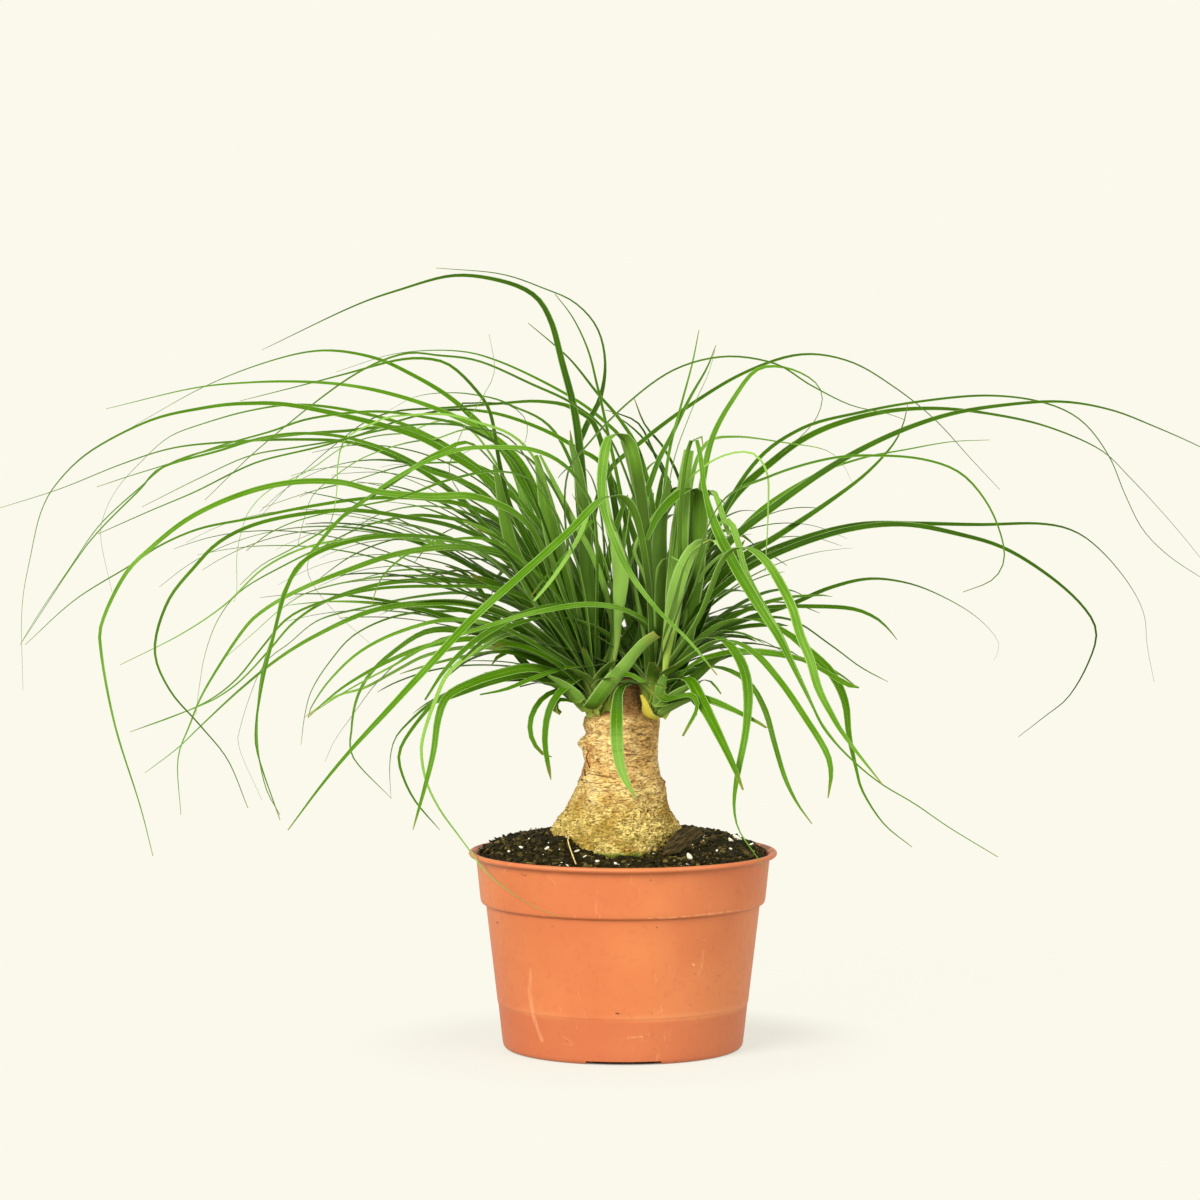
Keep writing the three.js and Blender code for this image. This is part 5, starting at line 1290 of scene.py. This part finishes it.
def makeSoil():
    finishes = {
        "crumb": makeSoilFinish("crumbs", 0.62, 0.92), "fibre": makeSoilFinish("fibres", 0.7),
        "clod": makeSoilFinish("clods", 0.66, 0.55), "perlite": makePerliteFinish()}
    mound = makeSoilTree().grow("soil_mound", makeSoilMesh(), {
        "Roughness": soilShape["rough"] * mm, "Lumps": soilShape["lumps"],
        "Finish": finishes["crumb"]})
    settled(mound, "soil", "potting_soil")
    scatter = makeScatterTree()
    for name, finish, density, small, large, length, sink, fineness, rugged, seed in strewn:
        piece = scatter.grow(name, mound.data.copy(), {
            "Density": float(density), "Smallest": small * mm, "Largest": large * mm,
            "Length": length, "Sink": sink, "Fineness": fineness, "Ruggedness": rugged,
            "Seed": seed, "Finish": finishes[finish]})
        settled(piece, "soil")
        print(name, len(piece.data.polygons))
    grains = []
    for i, (across, up, long, wide, turn) in enumerate(perlitePlaces):
        spot = onSoil(across, up) + (0, 0, 1.2)
        grains.append(lumpAt(spot, (long, wide * 1.2, wide), math.radians(turn), i))
    settled(joined("perlite_large", grains, finishes["perlite"]), "soil")


def lumpAt(place, size, turn, seed):  # an uneven ball, stretched and tipped
    chance = random.Random(seed)
    bpy.ops.mesh.primitive_ico_sphere_add(subdivisions=3, radius=1)
    lump = bpy.context.object
    for vertex in lump.data.vertices:
        x, y, z = vertex.co
        wave = math.sin(3.1 * x + seed) + math.sin(3.7 * y + 2 * seed) + math.sin(2.9 * z)
        grow = 1 + 0.11 * wave + chance.uniform(-0.05, 0.05)
        x, y, z = [half * part * grow for half, part in zip(size, (x, y, z))]
        x, z = x * math.cos(turn) - z * math.sin(turn), x * math.sin(turn) + z * math.cos(turn)
        vertex.co = [(place[0] + x) * mm, (place[1] + y) * mm, (place[2] + z) * mm]
    return lump


def joined(name, pieces, finish):  # several objects made one
    for piece in bpy.context.selected_objects:
        piece.select_set(False)
    for piece in pieces:
        piece.select_set(True)
    bpy.context.view_layer.objects.active = pieces[0]
    bpy.ops.object.join()
    whole = bpy.context.view_layer.objects.active
    whole.name = whole.data.name = name
    whole.data.materials.clear()
    whole.data.materials.append(finish)
    whole.data.shade_smooth()
    return whole


# The trunk: its outline as seen from in front, and the bark that covers it.
trunkShape = {
    "facets": 300, "step": 0.5, "crownSteps": 12, "crownShift": 9,
    "outline": [  # height, left edge, right edge
        (88, -39, 33), (95, -38.6, 32.8), (101, -38, 32.2), (109.1, -36.2, 30.2),
        (114.2, -33, 26.8),
        (119.2, -29.2, 23.8), (124.2, -26.8, 22.2), (129.3, -24.2, 21.8), (133.8, -22.8, 20.8),
        (136.8, -21.4, 18.8), (144.3, -19.2, 17.6), (150, -20.2, 17.6), (153.9, -20.9, 17.7),
        (157.9, -18.7, 18.1), (162, -20.2, 18.6), (165, -19.6, 18.4)],
    "crown": [  # radius, height, up to the top
        (18.6, 166.0), (17.2, 167), (14.6, 168.6), (11.8, 170.2), (9.8, 173.5), (9.2, 178),
        (8.4, 182.5), (6, 185.5), (2, 186.4)],
    "crownAt": (-0.6, 3.0),
    "relief": 0.9, "cracks": 0.75, "knobs": 0.8,
    "tan": paint(169, 136, 62), "cream": paint(213, 188, 110), "crack": paint(80, 40, 8),
    # upper bark: its own paler cream, lifted further by painted light against the crown's shade
    "upperTanWithPaintedLight": paint(200, 160, 92), "upperCreamWithPaintedLight": paint(228, 198, 130),
    "amber": paint(156, 106, 36), "moss": paint(120, 122, 34), "green": paint(66, 92, 8),
    # stump colours; the darkest is painted shade for the dips between its rings
    "pith": paint(166, 122, 66), "brown": paint(110, 70, 32), "paintedHollowShade": paint(48, 28, 12),
}
# Single bumps and dents of the bark: turn in degrees (-90 in front, 180 left), height, half
# size around and up, and how far out, all in mm.
trunkBumps = [
    (-166, 152.2, 3.4, 2.2, 1.8), (-162, 147, 3, 4, 0.9), (-140, 147, 0.9, 7, -1.6),
    (-150, 139.5, 3.2, 1.0, -1.5), (-163, 141.5, 2.2, 1.2, -1.2),
    (-176, 154, 4, 2.6, 1.2), (-128, 158, 5, 1.2, -0.8), (-60, 161, 8, 1.0, -0.9),
    (-40, 155, 6, 0.9, -0.8), (-75, 148, 7, 0.8, -0.7), (-30, 146, 7, 0.8, -0.7),
    (-110, 137, 8, 0.9, -0.8), (-80, 135, 10, 0.8, -0.8), (-15, 134, 7, 1.4, 1.0),
    (-150, 133, 6, 1.6, 1.0), (-50, 128, 9, 0.9, -0.8), (-120, 165, 6, 2.2, 1.2),
    (-65, 166, 6, 2.0, 0.9), (20, 150, 8, 1.0, -0.9), (60, 140, 9, 1.2, -1.0),
    (100, 155, 9, 1.0, -0.9), (140, 146, 8, 1.1, -1.0), (170, 132, 7, 1.2, -0.8),
]


def trunkMesh():
    rows = trunkShape["outline"]
    heights = list(np.arange(rows[0][0], rows[-1][0], trunkShape["step"]))
    left, right = [[between([(r[0], r[k]) for r in rows], z) for z in heights] for k in (1, 2)]
    levels = [((b - a) / 2, (a + b) / 2, 0, z) for a, b, z in zip(left, right, heights)]
    crown, (crownX, crownY) = trunkShape["crown"], trunkShape["crownAt"]
    steps = [np.linspace(a, b, trunkShape["crownSteps"], endpoint=False)
             for a, b in zip(crown, crown[1:])]
    for radius, z in np.concatenate(steps):
        share = min(1, max(0, (crown[0][0] - radius) / trunkShape["crownShift"]))
        levels.append((radius, crownX, crownY * share, z))
    rings = []
    for radius, x, y, z in levels:
        ring = []
        for turn in roundTurns(trunkShape["facets"]):
            out = radius
            for degrees, height, wide, tall, reach in trunkBumps:
                around = (math.degrees(turn) - degrees + 180) % 360 - 180
                gap = (math.radians(around) * radius / wide) ** 2 + ((z - height) / tall) ** 2
                if gap < 4:
                    out += reach * math.exp(-1.4 * gap * gap)
            ring.append((x + out * math.cos(turn), y + out * math.sin(turn), z))
        rings.append(ring)
    return closedSkin("trunk_bark", rings)


# Marks on the trunk as seen from in front, as on the pot: a pale patch and an orange flap, then
# the dark strokes: short cracks of the bark, and painted shade in its grooves and holes.
trunkMarks = [
    (paint(214, 196, 140), [((-15.5, 130), (-15, 124), 3.0, 0.28)]),
    (paint(184, 112, 44), [
        ((-15.6, 152.4), (-16.8, 147), 0.8, 0.6), ((-16.8, 147), (-16.4, 141), 0.8, 0.7),
        ((-17, 161), (-16, 158), 1, 0.35)]),
    (paint(62, 30, 8), [
        ((-16.4, 162.5), (-15.4, 159), 0.35, 0.6), ((-17, 149), (-18.4, 146), 0.5, 0.8),
        ((-19.6, 150.6), (-20.4, 149), 0.5, 0.8),
        ((-18.4, 145.6), (-16.6, 140.4), 0.55, 0.95), ((-19.3, 139.4), (-18.9, 136.8), 0.8, 0.95),
        ((-20.6, 134.6), (-20.2, 134.2), 0.9, 0.9), ((-17.2, 137.6), (-10, 136.2), 0.4, 0.8),
        ((-17, 133.4), (-12, 132.6), 0.35, 0.7), ((-17, 124.2), (-16.4, 123.8), 0.7, 0.9),
        ((-6.6, 126.2), (-6.2, 125.8), 0.6, 0.9), ((-14.6, 101.2), (-14.3, 101), 0.6, 0.8),
        ((0.5, 99.6), (0.8, 99.4), 0.6, 0.8), ((14, 99.6), (14.3, 99.4), 0.6, 0.8),
        ((1.5, 147), (7, 147.2), 0.4, 0.7), ((1.5, 141.4), (7, 140.8), 0.4, 0.7),
        ((10, 146), (13.5, 146.4), 0.4, 0.7), ((15.6, 160.4), (11.8, 154), 0.3, 0.4),
        ((0.5, 163.6), (8, 160.5), 0.3, 0.6), ((2, 160), (11, 156.6), 0.3, 0.6),
        ((18.5, 135.6), (21.5, 133), 0.5, 0.7)]),
]


def barkLines(tree, place, scale, flatness, width):  # thin creases that run round the trunk
    waves = tree.noise(tree.stretch(place, (1, 1, flatness)), scale, 3, 0.55)
    return 1 - tree.step(abs(waves - 0.5), 0.0, width)


def makeBarkTree():  # creases the bark across above, and breaks it into small plates below
    tree = Growth("bark", {
        "Relief": "Float", "Cracks": "Float", "Knobs": "Float", "Finish": "Material"})
    place = tree.position()
    _, _, z = tree.parts(place)
    drift = tree.node("ShaderNodeTexNoise", None,
                      {"Vector": place, "Scale": 120.0, "Detail": 2.0}, "Color")
    wander = tree.plus(place, tree.scaled(drift, 0.005))
    patch = tree.step(tree.noise(place, 75, 2), 0.4, 0.6)
    low = tree.step(z + (patch - 0.5) * 0.01, 0.137, 0.118)
    creases = barkLines(tree, wander, 52, 8, 0.045)
    creases = creases.atLeast(barkLines(tree, wander, 95, 7, 0.05) * 0.8)
    flat = tree.cells(tree.stretch(wander, (1, 1, 3.2)), 150, "DISTANCE_TO_EDGE")
    above = creases.atLeast((1 - tree.step(flat, 0.0, 0.06)) * patch)
    small = tree.cells(tree.stretch(wander, (1, 1, 1.5)), 400, "DISTANCE_TO_EDGE")
    below = (1 - tree.step(small, 0.0, 0.15)).atLeast(barkLines(tree, wander, 100, 3, 0.02) * 0.8)
    crack = tree.mix(low, above, below, "FLOAT")
    broad = tree.noise(place, 60, 3, 0.6) - 0.5
    fine = tree.noise(tree.stretch(place, (1, 1, 3)), 420, 3, 0.65) - 0.5
    scars = tree.step(z, 0.1665, 0.169)
    rings = tree.noise(tree.stretch(wander, (1, 1, 4)), 260, 2, 0.6) * 2 - 1
    relief, cracks, knobs = [tree.given(name) for name in ("Relief", "Cracks", "Knobs")]
    rise = (broad * 1.5 + fine * 0.8) * relief - crack * cracks * (0.45 + low * 0.55)
    rise = rise + tree.step(small, 0.05, 0.45) * low * (patch * 0.7 + 0.3) * knobs
    rise = rise + scars * (rings * 0.8 + fine) * relief
    normal = tree.node("GeometryNodeInputNormal")
    moved = tree.node("GeometryNodeSetPosition", None,
                      {"Geometry": tree.given("Geometry"), "Offset": tree.scaled(normal, rise)})
    kept = tree.keep(moved, "crack", crack)
    kept = tree.keep(kept, "scar", scars * (0.5 - rings * 0.5))
    tree.end(tree.keep(kept, "low", low))
    return tree


def makeBarkFinish():
    made = Finish("corkyBark", Roughness=0.85, Specular_IOR_Level=0.2)
    place = made.place()
    x, y, z = made.parts(place)
    broad = made.noise(place, 60, 3, 0.6)

    def grain(squash, scale, detail, roughness):  # noise that is squashed along the height
        return made.noise(made.stretch(place, (1, 1, squash)), scale, detail, roughness)

    fine, spots = grain(2.4, 700, 3, 0.7), grain(1.6, 260, 2, 0.6)
    crack, low = made.own("crack"), made.own("low")
    dashes = made.step(grain(7, 300, 3, 0.6), 0.58, 0.66)
    scales = made.step(grain(2.6, 520, 2, 0.6), 0.57, 0.64)
    fresh = made.mix(low, dashes, scales.atLeast(dashes * 0.6), "FLOAT")
    pale = made.step(broad, 0.4, 0.6)
    # the upper trunk is paler: partly the bark's own colour, partly painted light against the shade
    # of the leaf crown
    high = made.step(z + (broad - 0.5) * 0.02, 0.118, 0.146)
    tint = made.step(z + (broad - 0.5) * 0.012, 0.13, 0.106) * made.step(spots, 0.35, 0.6)
    line = z + made.step(y, 0.02, -0.03) * 0.0085 + (spots - 0.5) * 0.006  # green at the soil
    top = made.step(z + (broad - 0.5) * 0.004, 0.1655, 0.1685)
    # the stump on top: pith and brown, with painted shade in the dips between its rings
    stump = made.ramp(made.own("scar") * 0.5 + fine * 0.6, [
        (0.4, trunkShape["pith"]), (0.62, trunkShape["brown"]), (0.9, trunkShape["paintedHollowShade"])])
    colour = made.layered(
        made.mix(pale, trunkShape["tan"], trunkShape["cream"]),
        (high, made.mix(pale, trunkShape["upperTanWithPaintedLight"], trunkShape["upperCreamWithPaintedLight"])),
        (made.step(spots, 0.5, 0.66) * (0.25 + low * 0.5), trunkShape["amber"]),
        (made.step(fine, 0.5, 0.7) * (0.34 + low * 0.34), trunkShape["crack"]),
        (crack * (0.4 + made.step(spots, 0.3, 0.6) * 0.4), trunkShape["crack"]),
        (fresh * (0.42 + pale * 0.42), trunkShape["crack"]),
        (tint * 0.4, trunkShape["moss"]),
        (made.step(line, 0.1108, 0.1085) * 0.9, trunkShape["green"]),
        (top * 0.85, stump))
    level, front = z + y * sight["slant"], made.step(y, 0.0, -0.008)
    # the marks in front; the dark set is painted shade in grooves and holes, along with dark cracks
    # of the bark
    for strokeColour, rows in trunkMarks:
        there = strokes(made, x, level, rows) * front * made.step(fine, 0.2, 0.45)
        colour = made.mix(there, colour, strokeColour)
    made.drive("Base Color", colour)
    made.bump(fine - fresh * 0.8, 0.0008, 0.9)
    return made.material


# Shoots: a short pale stem each, wrapped in the sheaths of its lowest leaves.
sheathShape = {
    "number": 16, "length": (38, 85), "width": (4.5, 7.5), "slope": (12, 78),
    # base: the sheaths' own pale green, made lighter still as painted light against the crown's
    # shade; the stem uses it too
    "base": paint(182, 196, 96), "stemRadius": 4.6, "stemFacets": 28,
    # the stem's section: its radius as a share of stemRadius, and its height
    "stem": [(0.5, -2.5), (0.8, 0), (1, 4), (0.95, 9), (0.7, 14), (0.3, 18)],
}
shootNames = {
    "left": "shoot_left", "right": "shoot_right",
    "backLeft": "shoot_back_left", "backRight": "shoot_back_right",
}


def makeShoots():
    chance = random.Random(5)
    sheathPaint = dict(leafPaint, base=sheathShape["base"])
    sheathFinish = makeLeafFinish("sheathGreen", sheathPaint)
    green = Finish("stemGreen", Roughness=0.6, Specular_IOR_Level=0.1)
    green.drive("Base Color", green.mix(
        green.noise(green.place(), 300, 2), sheathPaint["base"], sheathPaint["middle"]))
    for key, (at, size) in shoots.items():
        name = shootNames[key]
        radius = sheathShape["stemRadius"] * size
        section = [(radius * share, height * size) for share, height in sheathShape["stem"]]
        skin = closedSkin(name, turned(section, sheathShape["stemFacets"], at))
        settled(shown(name + "_stem", skin, green.material), "shoot", name)
        sheaths = []
        for i in range(sheathShape["number"]):
            turn = i * 2.4 + chance.uniform(-0.3, 0.3)
            ahead = max(0, -math.sin(turn))  # those toward the viewer are short
            slope = math.radians(chance.uniform(*sheathShape["slope"]))
            length = chance.uniform(*sheathShape["length"]) * size * (1 - 0.62 * ahead)
            points = archLine(key, turn, slope, slope - 0.5, length, 0)
            width = chance.uniform(*sheathShape["width"]) * size
            sheaths.append(blade(points, width, 0, chance.uniform(0.2, 0.6)))
        settled(growBlades(name + "_sheaths", sheaths, sheathFinish), "shoot")


dryBase = {  # points as seen, and how far each lies behind the axis
    "line": [(16.6, 162.6, -13), (13.6, 163.8, -18), (11.8, 167.4, -20.5), (11, 171.4, -21.5),
             (9, 175.6, -20.5)],
    "widths": (5, 3, 1.2),
    "dark": paint(140, 124, 30), "middle": paint(174, 156, 42), "light": paint(190, 176, 70),
    "tip": paint(150, 100, 40),
}
chipShape = {  # its ends as seen, sizes in mm, how far it leans and lies above the soil
    "from": (20.5, 92.6), "to": (38.5, 105), "width": 11.5, "thick": 1.8, "lean": 52, "rest": 3.4,
    "sections": 26, "around": 20, "torn": 0.3, "uneven": 0.4, "rough": 0.2, "sharpFrom": 40,
    "dark": paint(24, 19, 7), "light": paint(78, 64, 32),
}
rootShape = {  # points as seen, and how far each lies above the soil
    "line": [(-26, 104.5, 2.6), (-27.5, 100.5, 2.6), (-26.2, 96, 2), (-23.6, 90, 1)],
    "radius": 0.34, "around": 10, "colour": paint(190, 168, 106), "brown": paint(150, 122, 66),
}


def makeDryBase():
    dark, middle, light, tip = [dryBase[key] for key in ("dark", "middle", "light", "tip")]
    finish = makeLeafFinish("dryLeaf", dict(
        leafPaint, dark=dark, middle=middle, light=light, base=middle, under=light, tip=tip))
    line = [seen(*point) for point in dryBase["line"]]
    one = blade(line, 0, 0, 0.6, facing=True, widths=dryBase["widths"], pale=1, dry=0.2)
    settled(growBlades("dry_leaf_base_scale", [one], finish), "dry_leaf", "dry_leaf_base")


def crossed(way, other):  # two directions square to the way, the first also to the other
    side = np.cross(way, other)
    side /= np.linalg.norm(side)
    return side, np.cross(side, way)


def makeChip():  # a flat flake of old bark, torn along its edges
    made = Finish("oldBark", Roughness=0.85, Specular_IOR_Level=0.1)
    strands = made.vector(made.own("strand") * 900, made.own("length") * 90, 0.0)
    grain = made.noise(strands, 1, 3, 0.7)
    made.drive("Base Color", made.mix(
        made.step(grain, 0.35, 0.7), chipShape["dark"], chipShape["light"]))
    made.bump(grain, 0.0006, 0.8)
    start, stop = onSoil(*chipShape["from"]), onSoil(*chipShape["to"])
    way = (stop - start) / np.linalg.norm(stop - start)
    side, up = crossed(way, (0, 0, 1))
    lean = math.radians(chipShape["lean"])  # it stands on its long edge against the trunk
    c, s = math.cos(lean), math.sin(lean)
    side, up = side * c - up * s, up * c + side * s
    chance = random.Random(9)

    def give(most):
        return chance.uniform(-most, most)

    rings = []
    for share in np.linspace(0, 1, chipShape["sections"]):
        half = chipShape["width"] / 2 * math.sin(math.pi * (0.05 + 0.83 * share))
        half, shift = half + give(chipShape["torn"]), give(chipShape["uneven"])
        middle = start + (stop - start) * share + (0, 0, chipShape["rest"])
        middle = middle + up * 0.5 * math.sin(5 * share)
        ring = []
        for turn in roundTurns(chipShape["around"]):
            c, s = math.cos(turn), math.sin(turn)
            width = half * math.copysign(abs(c) ** 0.6, c) + shift
            height = chipShape["thick"] / 2 * math.copysign(abs(s) ** 0.5, s)
            height += chipShape["uneven"] * math.sin(width * 2.1 + share)
            ring.append(middle + side * width + up * height + way * give(chipShape["rough"]))
        rings.append(ring)
    mesh = closedSkin("bark_flake", rings[::-1])
    spots = np.array([vertex.co for vertex in mesh.vertices]) - start * mm
    keepOn(mesh, "strand", spots @ side)
    keepOn(mesh, "length", spots @ way)
    mesh.set_sharp_from_angle(angle=math.radians(chipShape["sharpFrom"]))
    settled(shown("bark_flake", mesh, made.material), "bark_chip", "bark_chip")


def makeRoot():
    finish = Finish("paleRoot", Roughness=0.8)
    grain = finish.noise(finish.place(), 500, 3)
    finish.drive("Base Color", finish.mix(
        finish.step(grain, 0.4, 0.7), rootShape["colour"], rootShape["brown"]))
    finish.bump(grain, 0.0002, 0.5)
    line = smoothLine([onSoil(*point[:2]) + (0, 0, point[2]) for point in rootShape["line"]], 8)
    tangent = np.gradient(line, axis=0)
    rings = []
    for point, way in zip(line, tangent / np.linalg.norm(tangent, axis=1)[:, None]):
        side, up = crossed(way, (0, 1, 0.2))
        rings.append([point + rootShape["radius"] * (side * math.cos(t) + up * math.sin(t))
                      for t in roundTurns(rootShape["around"])])
    settled(shown("root_fibre", closedSkin("root_fibre", rings[::-1]), finish.material), "soil")


makePot()
print("pot made")
makeSoil()
print("soil made")
trunk = makeBarkTree().grow("trunk_bark", trunkMesh(), {
    "Relief": trunkShape["relief"] * mm, "Cracks": trunkShape["cracks"] * mm,
    "Knobs": trunkShape["knobs"] * mm, "Finish": makeBarkFinish()})
settled(trunk, "trunk_bark", "trunk")
print("trunk made")
makeShoots()
makeDryBase()
makeChip()
makeRoot()
print("small pieces made")

studio = {
    "background": paint(251, 249, 236),
    "lens": 127.5, "sensor": 36, "reach": 100, "floorSize": 60,
    # where each light comes from, its strength and how wide it is in degrees
    "suns": {"key": ((-0.6, -0.85, 0.6), 5.3, 34), "fill": ((0.8, -0.7, 0.35), 2.1, 50)},
    # the floor's own light: its share near the pot and far off, and the distances between which
    # it rises: at the foot, and farther out
    "glowNear": 0.68, "glowFar": 0.985, "glowEnds": (54, 60, 84, 150),
}


def makeStudio():
    camera = bpy.data.cameras.new("camera")
    camera.lens, camera.sensor_width = studio["lens"], studio["sensor"]
    camera.clip_end = studio["reach"]
    holder = placed("camera", camera)
    holder.location = [value * mm for value in sight["eye"]]
    holder.rotation_euler = (math.radians(90 - sight["lookDown"]), 0, 0)
    bpy.context.scene.camera = holder
    bpy.context.scene.view_settings.view_transform = "Standard"
    world = bpy.data.worlds.new("studio")
    bpy.context.scene.world = world
    world.use_nodes = True
    world.node_tree.nodes["Background"].inputs["Color"].default_value = studio["background"]
    onFloor = 0
    for name, (way, strength, angle) in studio["suns"].items():
        sun = bpy.data.lights.new(name, "SUN")
        sun.energy, sun.angle = strength, math.radians(angle)
        x, y, z = np.array(way) / np.linalg.norm(way)
        placed(name, sun).rotation_euler = (math.acos(z), 0, math.atan2(y, x) + math.pi / 2)
        onFloor += strength * z / math.pi
    bpy.ops.mesh.primitive_plane_add(size=studio["floorSize"], location=(0, 0, 0))
    floor = bpy.context.object
    floor.name = "floor"
    material = bpy.data.materials.new("paleFloor")
    material.use_nodes = True
    material.node_tree.nodes.clear()
    ground = Maker(material.node_tree)
    # the matte part of the floor is as light as the background where the suns reach it
    matte = [c / (c + onFloor) for c in studio["background"][:3]] + [1]
    matte = ground.node("ShaderNodeBsdfDiffuse", None, {"Color": matte})
    glow = ground.node("ShaderNodeEmission", None, {"Color": studio["background"]})
    x, y, _ = ground.parts(ground.node("ShaderNodeTexCoord", None, None, "Object"))
    apart = (x * x + y * y) ** 0.5
    foot, free, near, far = [distance * mm for distance in studio["glowEnds"]]
    share = ground.step(apart, foot, free) * studio["glowNear"]
    share = share + ground.step(apart, near, far) * (studio["glowFar"] - studio["glowNear"])
    both = ground.node("ShaderNodeMixShader", None, {0: share, 1: matte, 2: glow})
    ground.node("ShaderNodeOutputMaterial", None, {"Surface": both})
    floor.data.materials.append(material)


makeStudio()
print("studio made")
